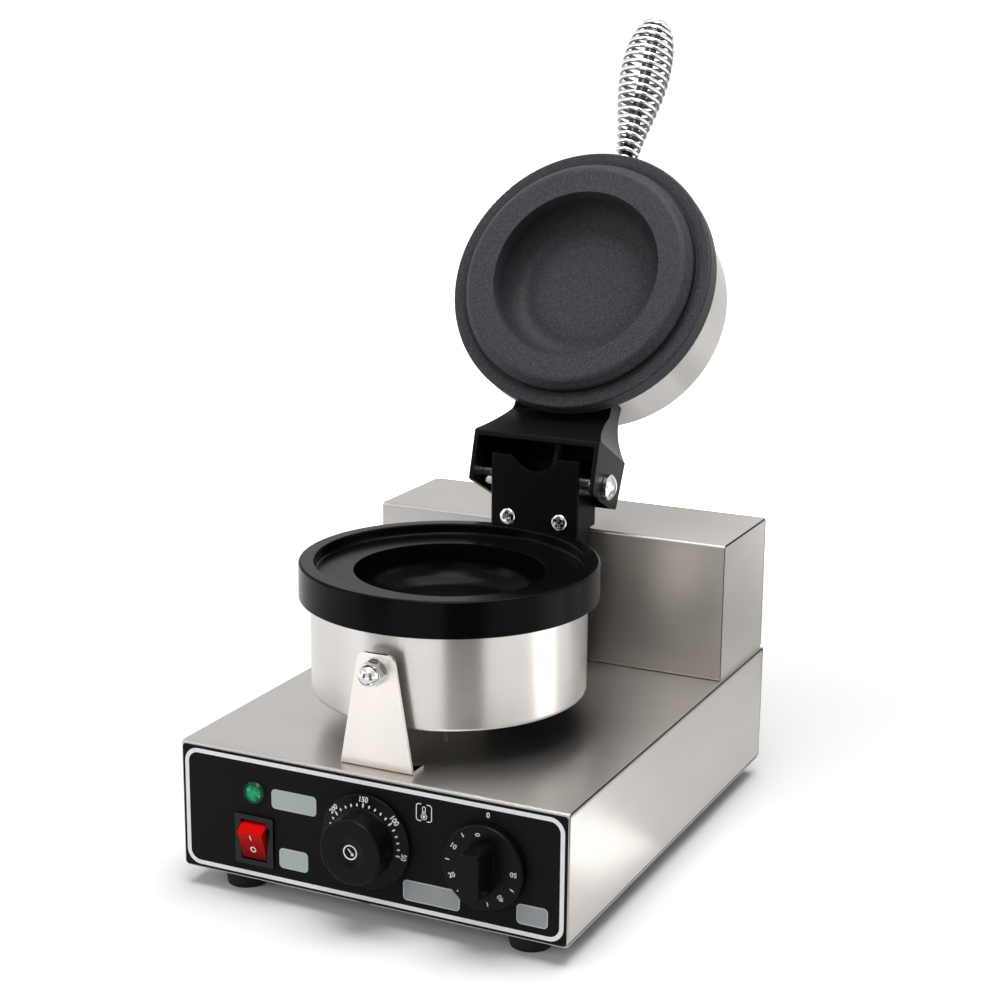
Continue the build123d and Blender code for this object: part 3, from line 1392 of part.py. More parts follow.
with BuildPart() as handle_nuts:
    with Locations(handle_axis.offset(handle_inner).location):
        add(stud_nut)
    with BuildSketch(handle_axis.offset(shell_radius - 3.0)):
        RegularPolygon(nut_across / 2, 6, major_radius=False)
    extrude(amount=collar_top - shell_radius + 3.0)
    with BuildSketch(handle_axis.offset(collar_top)):
        Circle(coil_neck_radius - wire_radius - 0.2)
    extrude(amount=4 * wire_radius)
    with BuildSketch(lid_frame.offset(-handle_drop - nut_across)):
        with BuildLine():
            CenterArc((0, 0), shell_radius, 45, 90)
            CenterArc((0, 0), shell_radius - shell_sheet, 45, 90)
            for side in (-1, 1):
                Line(
                    (side * shell_radius * 0.5**0.5, shell_radius * 0.5**0.5),
                    (side * (shell_radius - shell_sheet) * 0.5**0.5, (shell_radius - shell_sheet) * 0.5**0.5),
                )
        make_face()
    extrude(amount=2 * nut_across, mode=Mode.SUBTRACT)
    with BuildSketch(handle_axis.offset(handle_inner)):
        Circle(rod_radius + thread_gap)
    extrude(amount=collar_top, mode=Mode.SUBTRACT)
handle_nuts.part.label = "handle_nuts"
export_step(handle_nuts.part, "parts/handle_nuts.step")


def lid_point(point):
    """A point given in the lid's frame, in the frame of the whole."""
    return lid_centre + Vector(point.X, 0, 0) + lid_along * point.Y + lid_out * point.Z


def lid_direction(direction):
    """A direction given in the lid's frame, in the frame of the whole."""
    return Vector(direction.X, 0, 0) + lid_along * direction.Y + lid_out * direction.Z


# The wire: two arcs to each half turn, meeting without a kink, and a short straight tail at each end
with BuildPart() as handle_spring:
    with BuildLine() as wire:
        knots = [
            (lid_point(coil_point(index / 2)), lid_direction(coil_direction(index / 2)))
            for index in range(coil_half_turns + 1)
        ]
        first_point, first_direction = knots[0]
        last_point, last_direction = knots[-1]
        Line(first_point - first_direction * coil_tail, first_point)
        for (start, start_direction), (end, end_direction) in zip(knots, knots[1:]):
            chord = end - start
            both = start_direction + end_direction
            apart = 2 * (1 - start_direction.dot(end_direction))
            along = chord.dot(both)
            handle_length = ((along**2 + apart * chord.dot(chord)) ** 0.5 - along) / apart
            before = start + start_direction * handle_length
            after = end - end_direction * handle_length
            joint = (before + after) * 0.5
            TangentArc(start, joint, tangent=start_direction)
            TangentArc(joint, end, tangent=after - before)
        Line(last_point, last_point + last_direction * coil_tail)
    with BuildSketch(Plane(origin=wire.line @ 0, z_dir=wire.line % 0)):
        Circle(wire_radius)
    sweep()
handle_spring.part.label = "handle_spring"
export_step(handle_spring.part, "parts/handle_spring.step")

# The least gap of the wire to itself, between points more than six tenths of a turn apart
wire_step = 48
nearest = min(
    (coil_samples[index] - coil_samples[other]).length
    for index in range(len(coil_samples))
    for other in range(index + round(0.6 * wire_step), min(index + 2 * wire_step, len(coil_samples)))
)
print(f"handle spring: least gap of the wire to itself {nearest - 2 * wire_radius:.2f} mm")

# The dials' bodies behind the panel, each with a threaded bush through it
dial_nut_height = 2.0
dial_nut_across = 13.0
bush_front = overlay_sheet + dial_nut_height + 0.4
spindle_back = 12.0
tab_width = 6.3
tab_sheet = 0.8
tab_length = 7.0
tab_spread = 8.0
tab_drop = 9.0


def dial_body(x, width, tall, deep, corner):
    """A switch body behind the panel, its bush and the bore for its spindle."""
    with BuildPart() as body:
        with BuildSketch(panel.offset(-sheet)):
            with Locations((x, dial_height)):
                RectangleRounded(width, tall, corner)
        extrude(amount=-deep)
        with BuildSketch(panel.offset(bush_front)):
            with Locations((x, dial_height)):
                Circle(bush_radius)
        extrude(amount=-bush_front - sheet - 1.0)
        with BuildSketch(panel.offset(bush_front)):
            with Locations((x, dial_height)):
                Circle(spindle_radius + running_gap)
        extrude(amount=-bush_front - spindle_back - 0.5, mode=Mode.SUBTRACT)
        with BuildSketch(panel.offset(-sheet - deep)):
            with Locations(*[(x + side * tab_spread, dial_height - tab_drop) for side in (-1, 1)]):
                Rectangle(tab_width, tab_sheet)
        extrude(amount=-tab_length)
    return body.part


with BuildPart() as thermostat_body:
    add(dial_body(
        thermostat_x, thermostat_body_width, thermostat_body_height, thermostat_body_depth, 3.0,
    ))
    with BuildSketch(panel.offset(-sheet - thermostat_body_depth)):
        with Locations((bulb_x, dial_height)):
            Circle(capillary_radius + thread_gap + thermostat_collar)
    extrude(amount=-thermostat_collar)
    with BuildSketch(panel.offset(-sheet - thermostat_body_depth - thermostat_collar)):
        with Locations((bulb_x, dial_height)):
            Circle(capillary_radius + thread_gap)
    extrude(amount=3.0, mode=Mode.SUBTRACT)
thermostat_body.part.label = "thermostat_body"
export_step(thermostat_body.part, "parts/thermostat_body.step")

with BuildPart() as timer_body:
    add(dial_body(timer_x, timer_body_width, timer_body_width, timer_body_depth, timer_body_width / 2 - 0.1))
timer_body.part.label = "timer_body"
export_step(timer_body.part, "parts/timer_body.step")

with BuildPart() as dial_nuts:
    with Locations(*[
        facing(x, front_y - overlay_sheet, base_bottom + dial_height, (0, -1, 0)).location
        for x in (thermostat_x, timer_x)
    ]):
        add(hex_nut(bush_radius + thread_gap, dial_nut_height, dial_nut_across))
dial_nuts.part.label = "dial_nuts"
export_step(dial_nuts.part, "parts/dial_nuts.step")


def flatted_circle(radius, cut):
    """A round with one flat, as on a spindle and in the bore of its knob."""
    with BuildSketch() as outline:
        Circle(radius)
        with Locations((0, cut)):
            Rectangle(3 * radius, 2 * radius, align=(Align.CENTER, Align.MIN), mode=Mode.SUBTRACT)
    return outline.sketch


spindle_front = 15.0
spindle_flat = 2.2


def dial_plane(x, reach):
    """A plane across a dial's axis, this far in front of the panel."""
    return Plane(origin=(x, front_y - reach, base_bottom + dial_height), x_dir=(1, 0, 0), z_dir=(0, -1, 0))


def spindle(x):
    """A round shaft with a flat where the knob sits."""
    with BuildPart() as shaft:
        with BuildSketch(dial_plane(x, -spindle_back)):
            Circle(spindle_radius)
        extrude(amount=spindle_back + bush_front + 0.5)
        with BuildSketch(dial_plane(x, bush_front + 0.5)):
            add(flatted_circle(spindle_radius, spindle_flat))
        extrude(amount=spindle_front - bush_front - 0.5)
    return shaft.part


with BuildPart() as thermostat_spindle:
    add(spindle(thermostat_x))
thermostat_spindle.part.label = "thermostat_spindle"
export_step(thermostat_spindle.part, "parts/thermostat_spindle.step")

with BuildPart() as timer_spindle:
    add(spindle(timer_x))
timer_spindle.part.label = "timer_spindle"
export_step(timer_spindle.part, "parts/timer_spindle.step")

# Thermostat knob: a bevelled skirt that carries the scale, and a round cap with a dimple
skirt_back = 3.4
skirt_edge = 4.4
skirt_rise = 6.4
cap_taper = 0.6
dimple_radius = 9.0
dimple_depth = 1.4
with BuildPart() as thermostat_knob:
    with BuildSketch(dial_section(thermostat_x, dial_height)):
        with BuildLine():
            Polyline((0, cap_front - dimple_depth), (0, skirt_back), (skirt_radius, skirt_back))
            Polyline(
                (skirt_radius, skirt_back), (skirt_radius, skirt_edge - 0.4),
                (skirt_radius - 0.4, skirt_edge),
                (cap_radius + 0.6, skirt_rise), (cap_radius, skirt_rise + 0.6),
                (cap_radius - cap_taper, cap_front - 1.2),
            )
            RadiusArc(
                (cap_radius - cap_taper, cap_front - 1.2), (cap_radius - cap_taper - 1.2, cap_front), -1.2
            )
            Line((cap_radius - cap_taper - 1.2, cap_front), (dimple_radius, cap_front))
            TangentArc((0, cap_front - dimple_depth), (dimple_radius, cap_front), tangent=(1, 0))
        make_face()
    revolve(axis=dial_axis(thermostat_x, dial_height))
    with BuildSketch(dial_plane(thermostat_x, skirt_back)):
        add(flatted_circle(spindle_radius + thread_gap, spindle_flat + thread_gap))
    extrude(amount=spindle_front - skirt_back, mode=Mode.SUBTRACT)
thermostat_knob.part.label = "thermostat_knob"
export_step(thermostat_knob.part, "parts/thermostat_knob.step")

# Timer knob: a disc with a rounded edge and a tapered grip across it
disc_back = 1.4
disc_front = 7.0
disc_recess = 9.0
disc_edge = 1.4
grip_flare = 0.8
grip_corner = 4.0
with BuildPart() as timer_knob:
    with BuildSketch(dial_plane(timer_x, disc_back)):
        Circle(timer_disc_radius)
    extrude(amount=disc_front - disc_back)
    fillet(timer_knob.edges().filter_by(GeomType.CIRCLE).group_by(Axis.Y)[0], disc_edge)
    with BuildSketch(dial_plane(timer_x, disc_front)):
        RectangleRounded(
            timer_grip_width + 2 * grip_flare, timer_grip_length + 2 * grip_flare, grip_corner,
        )
    with BuildSketch(dial_plane(timer_x, timer_front)):
        RectangleRounded(timer_grip_width - grip_flare, timer_grip_length - grip_flare, grip_corner - 1.0)
    loft()
    with BuildSketch(dial_plane(timer_x, disc_back)):
        Circle(disc_recess)
    extrude(amount=bush_front + 0.5 - disc_back, mode=Mode.SUBTRACT)
    with BuildSketch(dial_plane(timer_x, disc_back)):
        add(flatted_circle(spindle_radius + thread_gap, spindle_flat + thread_gap))
    extrude(amount=spindle_front - disc_back, mode=Mode.SUBTRACT)
timer_knob.part.label = "timer_knob"
export_step(timer_knob.part, "parts/timer_knob.step")

# Rocker switch: its housing through the panel, and the rocker tilted as in the open position
opening_width = rocker_width + 2 * rocker_gap
opening_height = 24.8
opening_depth = 12.0
switch_depth = 22.0
pivot_radius = 1.5
pivot_reach = 1.5
pivot = Vector(switch_x, front_y + rocker_pivot_depth, base_bottom + switch_height)
with BuildPart() as switch_housing:
    with BuildSketch(panel.offset(overlay_sheet)):
        with Locations((switch_x, switch_height)):
            RectangleRounded(bezel_width, bezel_height, 1.0)
    extrude(amount=bezel_front - overlay_sheet)
    with BuildSketch(panel.offset(overlay_sheet)):
        with Locations((switch_x, switch_height)):
            Rectangle(switch_body_width, switch_body_height)
    extrude(amount=-overlay_sheet - switch_depth)
    with BuildSketch(panel.offset(bezel_front)):
        with Locations((switch_x, switch_height)):
            Rectangle(opening_width, opening_height)
    extrude(amount=-bezel_front - opening_depth, mode=Mode.SUBTRACT)
    with Locations(pivot):
        Cylinder(
            pivot_radius + running_gap, opening_width + 2 * pivot_reach + 0.4,
            rotation=(0, 90, 0), mode=Mode.SUBTRACT,
        )
    with BuildSketch(panel.offset(-switch_depth)):
        with Locations((switch_x, switch_height)):
            with GridLocations(switch_body_width / 2, switch_body_height / 2, 2, 2):
                Rectangle(tab_sheet, 0.75 * tab_width)
    extrude(amount=-tab_length)
switch_housing.part.label = "switch_housing"
export_step(switch_housing.part, "parts/switch_housing.step")

rocker_reach = 9.0
rocker_dish = 0.7
rocker_top = 9.2
rocker_shoulder = (2.0, 11.5)
rocker_skirt = (-2.0, 11.0)
rocker_foot = (-3.0, 8.0)
rest_tilt = radians(rocker_throw / 2)
rocker_out = Vector(0, -cos(rest_tilt), -sin(rest_tilt))
with BuildPart() as switch_rocker:
    with BuildSketch(Plane(origin=pivot, x_dir=rocker_out, z_dir=(-1, 0, 0))):
        with BuildLine():
            side_corners = [(rocker_reach, rocker_top), rocker_shoulder, rocker_skirt, rocker_foot]
            Polyline(*side_corners, *[(out, -up) for out, up in reversed(side_corners)])
            ThreePointArc(
                (rocker_reach, -rocker_top), (rocker_reach - rocker_dish, 0), (rocker_reach, rocker_top)
            )
        make_face()
    extrude(amount=rocker_width / 2, both=True)
    fillet(switch_rocker.edges().filter_by(Axis.X).group_by(Axis.Y)[0], 0.4)
    with Locations(pivot):
        Cylinder(pivot_radius, opening_width + 2 * pivot_reach, rotation=(0, 90, 0))
switch_rocker.part.label = "switch_rocker"
export_step(switch_rocker.part, "parts/switch_rocker.step")

# Pilot lamp: a lens in front of the overlay, plugged into the lamp body behind it
lamp_depth = 20.0
lens_stem = 4.0
with BuildPart() as pilot_lamp_body:
    with BuildSketch(panel.offset(overlay_sheet)):
        with Locations((lamp_x, lamp_height)):
            Circle(lamp_body_radius)
    extrude(amount=-overlay_sheet - lamp_depth)
    with BuildSketch(panel.offset(overlay_sheet)):
        with Locations((lamp_x, lamp_height)):
            Circle(lens_stem + thread_gap)
    extrude(amount=-lens_stem, mode=Mode.SUBTRACT)
pilot_lamp_body.part.label = "pilot_lamp_body"
export_step(pilot_lamp_body.part, "parts/pilot_lamp_body.step")

with BuildPart() as pilot_lamp_lens:
    with BuildSketch(dial_section(lamp_x, lamp_height)):
        with BuildLine():
            Polyline(
                (0, lens_front - 0.3), (0, overlay_sheet - lens_stem), (lens_stem, overlay_sheet - lens_stem),
                (lens_stem, overlay_sheet), (lens_radius, overlay_sheet), (lens_radius, overlay_sheet + 1.0),
                (lens_radius - 1.0, lens_front - 0.6), (lens_radius - 1.9, lens_front - 0.6),
                (lens_radius - 2.4, lens_front - 1.0),
            )
            TangentArc((0, lens_front - 0.3), (lens_radius - 2.4, lens_front - 1.0), tangent=(1, 0))
        make_face()
    revolve(axis=dial_axis(lamp_x, lamp_height))
pilot_lamp_lens.part.label = "pilot_lamp_lens"
export_step(pilot_lamp_lens.part, "parts/pilot_lamp_lens.step")
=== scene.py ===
import json
from math import atan2, cos, hypot, pi, radians, sin

import bmesh
import bpy
from bpy.props import FloatProperty, FloatVectorProperty, IntProperty, PointerProperty
from mathutils import Matrix, Vector


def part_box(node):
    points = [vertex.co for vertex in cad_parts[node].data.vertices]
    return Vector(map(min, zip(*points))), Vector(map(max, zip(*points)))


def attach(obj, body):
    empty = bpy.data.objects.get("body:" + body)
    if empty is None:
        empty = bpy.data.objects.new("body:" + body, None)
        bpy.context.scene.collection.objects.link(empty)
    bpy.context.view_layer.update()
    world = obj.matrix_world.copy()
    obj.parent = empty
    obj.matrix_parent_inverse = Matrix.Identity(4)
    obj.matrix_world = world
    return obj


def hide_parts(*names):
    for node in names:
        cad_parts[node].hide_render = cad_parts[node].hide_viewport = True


bl_info = {
    "name": "Countertop press",
    "version": (1, 0, 0),
    "blender": (4, 5, 0),
    "location": "3D View > Sidebar > Countertop press",
    "description": "Dresses the packed model of a countertop press and sets it in a plain studio",
    "category": "Object",
}

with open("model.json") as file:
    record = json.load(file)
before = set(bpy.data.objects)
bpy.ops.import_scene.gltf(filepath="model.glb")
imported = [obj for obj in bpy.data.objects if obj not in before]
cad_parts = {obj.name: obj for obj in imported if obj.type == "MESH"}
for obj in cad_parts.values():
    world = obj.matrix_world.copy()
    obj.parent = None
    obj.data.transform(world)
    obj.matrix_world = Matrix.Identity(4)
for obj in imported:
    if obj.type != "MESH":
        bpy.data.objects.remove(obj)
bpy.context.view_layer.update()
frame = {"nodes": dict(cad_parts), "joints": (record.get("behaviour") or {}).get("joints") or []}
NODES = frame["nodes"]
MM = 0.001


def from_hex(code):
    """An sRGB hex colour as linear red, green and blue."""
    levels = [int(code[place:place + 2], 16) / 255 for place in (0, 2, 4)]
    return tuple(v / 12.92 if v <= 0.04045 else ((v + 0.055) / 1.055) ** 2.4 for v in levels)


# Places on the part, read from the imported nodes, in metres
def middle(node):
    low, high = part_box(node)
    return (low + high) / 2


PANEL_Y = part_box("base_shell")[0].y
OVERLAY_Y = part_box("control_overlay")[0].y
LABEL_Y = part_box("label_plates")[0].y
BASE_LOW_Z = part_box("bottom_plate")[0].z
THERMOSTAT = middle("thermostat_knob")
TIMER = middle("timer_knob")
# From the panel's middle and the base's foot to the timer's zero mark and to the thermometer sign
ZERO_X, ZERO_RISE = 76.4 * MM, 69.7 * MM
SIGN_X, SIGN_RISE = 36.5 * MM, 63.5 * MM
LAMP = middle("pilot_lamp_lens")
LOWER_DRUM = middle("lower_drum_shell")
HINGE = middle("hinge_bolts")
LEAN = radians(180 - next(j for j in frame["joints"] if j["name"] == "lid_hinge")["range_deg"][1])
LID_ALONG = Vector((0, cos(LEAN), sin(LEAN)))
LID_OUT = Vector((0, -sin(LEAN), cos(LEAN)))
ROD_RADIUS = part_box("handle_rod")[1].x
ROD_TIP = Vector((
    0,
    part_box("handle_rod")[1].y - ROD_RADIUS * sin(LEAN),
    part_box("handle_rod")[1].z - ROD_RADIUS * cos(LEAN),
))
LID_DRUM_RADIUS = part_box("upper_drum_shell")[1].x
# From the hinge's axis to the middle of the lid's drum
LID_REACH, LID_RISE = 135 * MM, 15.5 * MM
LID_CENTRE = HINGE + LID_ALONG * LID_REACH + LID_OUT * LID_RISE


# The settings a user would change
def a_length(name, about, size):
    """A length, its default in millimetres."""
    return FloatProperty(name=name, description=about, default=size * MM, unit="LENGTH", subtype="DISTANCE")


def an_angle(name, about, degrees):
    """An angle, its default in degrees."""
    return FloatProperty(name=name, description=about, default=radians(degrees), subtype="ANGLE")


def a_number(name, about, default):
    """A share, a strength, a power in watts or a count."""
    return FloatProperty(name=name, description=about, default=default)


def a_colour(name, about, code):
    """A colour, its default an sRGB hex code."""
    return FloatVectorProperty(name=name, description=about, subtype="COLOR", default=from_hex(code))


class StudioSettings(bpy.types.PropertyGroup):
    azimuth: an_angle("Azimuth", "How far round to the right of the panel the camera stands", 25.557)
    elevation: an_angle("Elevation", "How steeply the camera looks down", 14.076)
    roll: an_angle("Roll", "Turn of the picture about its middle", 0.516)
    place: FloatVectorProperty(
        name="Camera place", description="The camera, from the middle of the panel's foot",
        default=(0.5322, -0.9422, 0.5108), subtype="TRANSLATION", unit="LENGTH")
    lens: a_number("Lens", "Focal length on a 36 mm sensor, in millimetres", 73.45)
    key_power: a_number("Key light", "Power of the large light on the left, in watts", 13.5)
    sheen_power: a_number("Sheen light", "Power of the light that only glosses the surfaces, in watts", 12.0)
    top_power: a_number("Top light", "Power of the light overhead, in watts", 47.0)
    surround: a_number("Surround", "Strength of the room's soft light", 0.28)
    dark_azimuth: an_angle("Dark card place", "How far round to the right the dark card stands", 38.0)
    dark_level: a_number("Dark card", "Brightness of the dark card", 0.27)
    left_azimuth: an_angle("Left card place", "How far round to the right the left card stands", -27.0)
    left_level: a_number("Left card", "Brightness of the left card", 0.1)
    right_azimuth: an_angle("Right card place", "How far round to the right the grey card stands", 148.0)
    right_level: a_number("Right card", "Brightness of the grey card", 0.58)
    white_azimuth: an_angle("White card place", "How far round to the right the white card stands", 106.0)
    white_level: a_number("White card", "Brightness of the white card", 2.6)
    floor_colour: a_colour("Floor", "Colour of the floor", "F4F4F4")


class SteelSettings(bpy.types.PropertyGroup):
    sheet_colour: a_colour("Sheet", "Stainless steel of the base and the rear box", "C8C3BE")
    drum_colour: a_colour("Drums", "Stainless steel of the drums", "C4C0BC")
    chrome_colour: a_colour("Bright steel", "Polished steel of the handle, bolts and screws", "D4D3D2")
    grain_length: a_length("Grain length", "Length of a brush mark", 70)
    grain_width: a_length("Grain width", "Width of a brush mark", 0.5)


class CoatSettings(bpy.types.PropertyGroup):
    lid_casting: a_colour("Lid mould plate", "Coat of the lid's cast mould plate", "35363A")
    lower_casting: a_colour("Lower mould plate", "Coat of the lower cast mould plate", "060607")
    brackets: a_colour("Hinge brackets", "Powder coat of the hinge brackets", "0E0F10")
    panel: a_colour("Panel", "Printed overlay on the front", "171718")
    left_labels: a_colour("Left labels", "Label plates beside lamp and switch", "B6C2BB")
    right_labels: a_colour("Right labels", "Label plates beside the dials", "9EA4A8")
    knobs: a_colour("Knobs", "Moulded plastic of the knobs", "0A0A0B")
    fittings: a_colour("Fittings", "Moulded nylon of switch housing, lamp body and gland", "0A0A0B")
    rocker: a_colour("Rocker", "Plastic of the rocker switch", "DC0606")
    lamp: a_colour("Lamp", "Plastic of the pilot lamp's lens", "069A68")
    terminals: a_colour("Terminals", "Steatite of the terminal block", "E4DFCF")
    feet: a_colour("Feet", "Rubber of the feet", "141414")
    ink: a_colour("Ink", "White print on panel, dials and switch", "FAFBFD")
    label_ink: a_colour("Label ink", "Thin grey line round the label plates", "C3CCC8")


class CoilSettings(bpy.types.PropertyGroup):
    wire_radius: a_length("Wire radius", "Radius of the coil's wire", 1.5)
    start: a_length("Start", "From the coil's first turn to the rod's tip", 101)
    belly: a_length("Belly", "From the first turn to the widest", 75)
    length: a_length("Length", "From the first turn to the closed tip", 112)
    neck_radius: a_length("Neck radius", "Radius of the first turn", 6.4)
    belly_radius: a_length("Belly radius", "Radius of the widest turn", 16.5)
    tip_radius: a_length("Tip radius", "Radius of the last turn", 4.0)
    turns: a_number("Turns", "Number of turns", 20.5)
    steps: IntProperty(name="Steps", description="Points to a turn", default=48)


class PrintSettings(bpy.types.PropertyGroup):
    line_width: a_length("Border width", "Width of the panel's white border", 2.6)
    border_inset: a_length("Border inset", "From the overlay's side to the border", 1.5)
    border_corner: a_length("Border corner", "Corner radius of the border", 9)
    ink_height: a_length("Ink height", "How far the ink stands off its face", 0.06)
    digit_height: a_length("Digit height", "Height of the dials' numbers", 4.2)


class PressSettings(bpy.types.PropertyGroup):
    studio: PointerProperty(type=StudioSettings)
    steel: PointerProperty(type=SteelSettings)
    coat: PointerProperty(type=CoatSettings)
    coil: PointerProperty(type=CoilSettings)
    print: PointerProperty(type=PrintSettings)


def settings():
    return bpy.context.scene.countertop_press


# Helpers for node trees
def feed(tree, node, inputs):
    """Fills a node's inputs, by name or in order, each with a constant, a socket or a node to link."""
    for name, value in (inputs if isinstance(inputs, dict) else dict(enumerate(inputs))).items():
        if isinstance(value, bpy.types.Node):
            value = value.outputs[0]
        if isinstance(value, bpy.types.NodeSocket):
            tree.links.new(value, node.inputs[name])
        else:
            node.inputs[name].default_value = value
    return node


def add_node(tree, kind, inputs=(), **options):
    """Adds a node: its own options, then its inputs."""
    fresh = tree.nodes.new(kind)
    for name, value in options.items():
        setattr(fresh, name, value)
    return feed(tree, fresh, inputs)


def pattern(tree, place, cells, inputs=None, kind="ShaderNodeTexNoise", turn=(0, 0, 0)):
    """A pattern whose cells are these many millimetres long, along each axis or along all three."""
    sizes = cells if isinstance(cells, tuple) else (cells,) * 3
    coords = add_node(tree, "ShaderNodeMapping", {
        "Vector": place, "Rotation": turn, "Scale": tuple(1 / (size * MM) for size in sizes)})
    return add_node(tree, kind, {"Vector": coords, "Scale": 1.0, **(inputs or {})})


def rgba(colour, level=1.0):
    return (*(level * value for value in colour), 1.0)


def new_material(name):
    """A material with a Principled shader, as (material, tree, shader, Object coordinates)."""
    made = bpy.data.materials.new(name)
    made.use_nodes = True
    tree = made.node_tree
    tree.nodes.clear()
    shader = add_node(tree, "ShaderNodeBsdfPrincipled")
    add_node(tree, "ShaderNodeOutputMaterial", {"Surface": shader})
    return made, tree, shader, add_node(tree, "ShaderNodeTexCoord").outputs["Object"]


MATERIALS = {}


def finish(name):
    """The finished material of that name, made once."""
    if name not in MATERIALS:
        MATERIALS[name], tree, shader, place = new_material(name)
        dress, choices, _ = FINISHES[name]
        dress(tree, shader, place, **choices)
    return MATERIALS[name]


# Metals
def brushed(tree, shader, coords, grain, colour, roughness, underside_shade=None):
    """Brush marks along one direction: streaks in tone and gloss, and highlights drawn out across them."""
    steel = settings().steel
    long_mm, wide_mm = steel.grain_length / MM, steel.grain_width / MM
    cloud_mm = (90, 26, 26)
    streaks = pattern(tree, coords, (long_mm, wide_mm, wide_mm))
    clouds = pattern(tree, coords, cloud_mm)
    even = add_node(tree, "ShaderNodeMapRange", (streaks, 0.25, 0.75), interpolation_type="SMOOTHSTEP")
    tone = add_node(tree, "ShaderNodeMix", {
        0: even, 6: rgba(colour, 0.975), 7: rgba(colour, 1.02)}, data_type="RGBA")
    tone = add_node(tree, "ShaderNodeMix", {
        0: 1.0, 6: tone.outputs[2],
        7: add_node(tree, "ShaderNodeMapRange", (clouds, 0.3, 0.7, 0.96, 1.02)),
    }, data_type="RGBA", blend_type="MULTIPLY")
    # Painted shade where a mask is given: the tone runs towards a near-black copy of the steel
    if underside_shade:
        tone = add_node(tree, "ShaderNodeMix", {
            0: underside_shade, 6: tone.outputs[2], 7: rgba(colour, 0.12)}, data_type="RGBA")
    along = add_node(
        tree, "ShaderNodeVectorTransform", (grain,),
        vector_type="VECTOR", convert_from="OBJECT", convert_to="WORLD")
    normal = add_node(tree, "ShaderNodeNewGeometry").outputs["Normal"]
    feed(tree, shader, {
        "Base Color": tone.outputs[2], "Metallic": 1.0, "Anisotropic": 0.75,
        "Roughness": add_node(
            tree, "ShaderNodeMapRange", (even, 0.0, 1.0, roughness - 0.01, roughness + 0.01)),
        "Normal": add_node(tree, "ShaderNodeBump", {
            "Height": even, "Strength": 0.012, "Distance": 0.01 * MM}),
        "Tangent": add_node(tree, "ShaderNodeVectorMath", (along, normal), operation="CROSS_PRODUCT")})


def sheet_steel(tree, shader, place, grain, level, roughness):
    """Stainless sheet, brushed along one axis: soft streaky reflections, drawn out across the grain."""
    turn, direction = {
        "x": ((0, 0, 0), (1, 0, 0)),
        "y": ((0, 0, -pi / 2), (0, 1, 0)),
        "z": ((0, pi / 2, 0), (0, 0, 1)),
    }[grain]
    coords = add_node(tree, "ShaderNodeMapping", {"Vector": place, "Rotation": turn})
    along = add_node(tree, "ShaderNodeCombineXYZ", direction)
    colour = [level * value for value in settings().steel.sheet_colour]
    brushed(tree, shader, coords, along, colour, roughness)


def drum_steel(tree, shader, place, centre, lean, shaded_underside):
    """Stainless cup, brushed round its axis on a lathe: bright bands up and down its wall. The lower one's
    underside is painted nearly black, as painted shade beneath the drum."""
    upright = add_node(tree, "ShaderNodeMapping", {
        "Vector": place, "Location": centre, "Rotation": (lean, 0, 0)}, vector_type="TEXTURE")
    x, y, z = add_node(tree, "ShaderNodeSeparateXYZ", (upright,)).outputs
    angle = add_node(tree, "ShaderNodeMath", (y, x), operation="ARCTAN2")
    round_wall = add_node(tree, "ShaderNodeMath", (angle, LID_DRUM_RADIUS), operation="MULTIPLY")
    sideways = add_node(tree, "ShaderNodeCombineXYZ", (x, y))
    reach = add_node(tree, "ShaderNodeVectorMath", (sideways,), operation="LENGTH")
    coords = add_node(tree, "ShaderNodeCombineXYZ", (round_wall, z, reach.outputs["Value"]))
    from_centre = add_node(tree, "ShaderNodeVectorMath", (place, centre), operation="SUBTRACT")
    around = add_node(
        tree, "ShaderNodeVectorMath", ((0, -sin(lean), cos(lean)), from_centre), operation="CROSS_PRODUCT")
    underside_shade = None
    # Painted shade: faces that look down are mixed towards near-black
    if shaded_underside:
        normal = add_node(tree, "ShaderNodeNewGeometry").outputs["Normal"]
        facing = add_node(tree, "ShaderNodeVectorMath", (normal, (0, 0, -1)), operation="DOT_PRODUCT")
        underside_shade = add_node(tree, "ShaderNodeMapRange", (facing.outputs["Value"], 0.6, 1.0))
    brushed(tree, shader, coords, around, settings().steel.drum_colour, 0.31, underside_shade)


def bright_steel(tree, shader, place):
    """Polished plated steel: a clear mirror with faint polishing haze."""
    haze = pattern(tree, place, 6, {"Detail": 4.0})
    feed(tree, shader, {
        "Base Color": rgba(settings().steel.chrome_colour), "Metallic": 1.0,
        "Roughness": add_node(tree, "ShaderNodeMapRange", (haze, 0.3, 0.7, 0.09, 0.16)),
        "Normal": add_node(tree, "ShaderNodeBevel", (0.2 * MM,), samples=4)})


def wire_steel(tree, shader, place):
    """Spring wire, drawn and tumbled bright: painted light on its outer faces, painted shade on the faces
    towards the rod.
    """
    colour = settings().steel.chrome_colour
    away = add_node(tree, "ShaderNodeVectorMath", (place, ROD_TIP), operation="SUBTRACT")
    along = add_node(tree, "ShaderNodeVectorMath", (away, LID_ALONG), operation="PROJECT")
    sideways = add_node(tree, "ShaderNodeVectorMath", (away, along), operation="SUBTRACT")
    outward = add_node(tree, "ShaderNodeVectorMath", (sideways,), operation="NORMALIZE")
    normal = add_node(tree, "ShaderNodeNewGeometry").outputs["Normal"]
    facing = add_node(tree, "ShaderNodeVectorMath", (outward, normal), operation="DOT_PRODUCT")
    painted_light_outside = add_node(
        tree, "ShaderNodeMapRange", (facing.outputs["Value"], 0.2, 0.95), interpolation_type="SMOOTHSTEP")
    # Painted light and shade: faces towards the rod take a dark copy of the steel, outer faces a lighter one
    tone = add_node(tree, "ShaderNodeMix", {
        0: painted_light_outside, 6: rgba(colour, 0.24), 7: rgba(colour, 1.15)}, data_type="RGBA")
    feed(tree, shader, {"Base Color": tone.outputs[2], "Metallic": 1.0, "Roughness": 0.12})


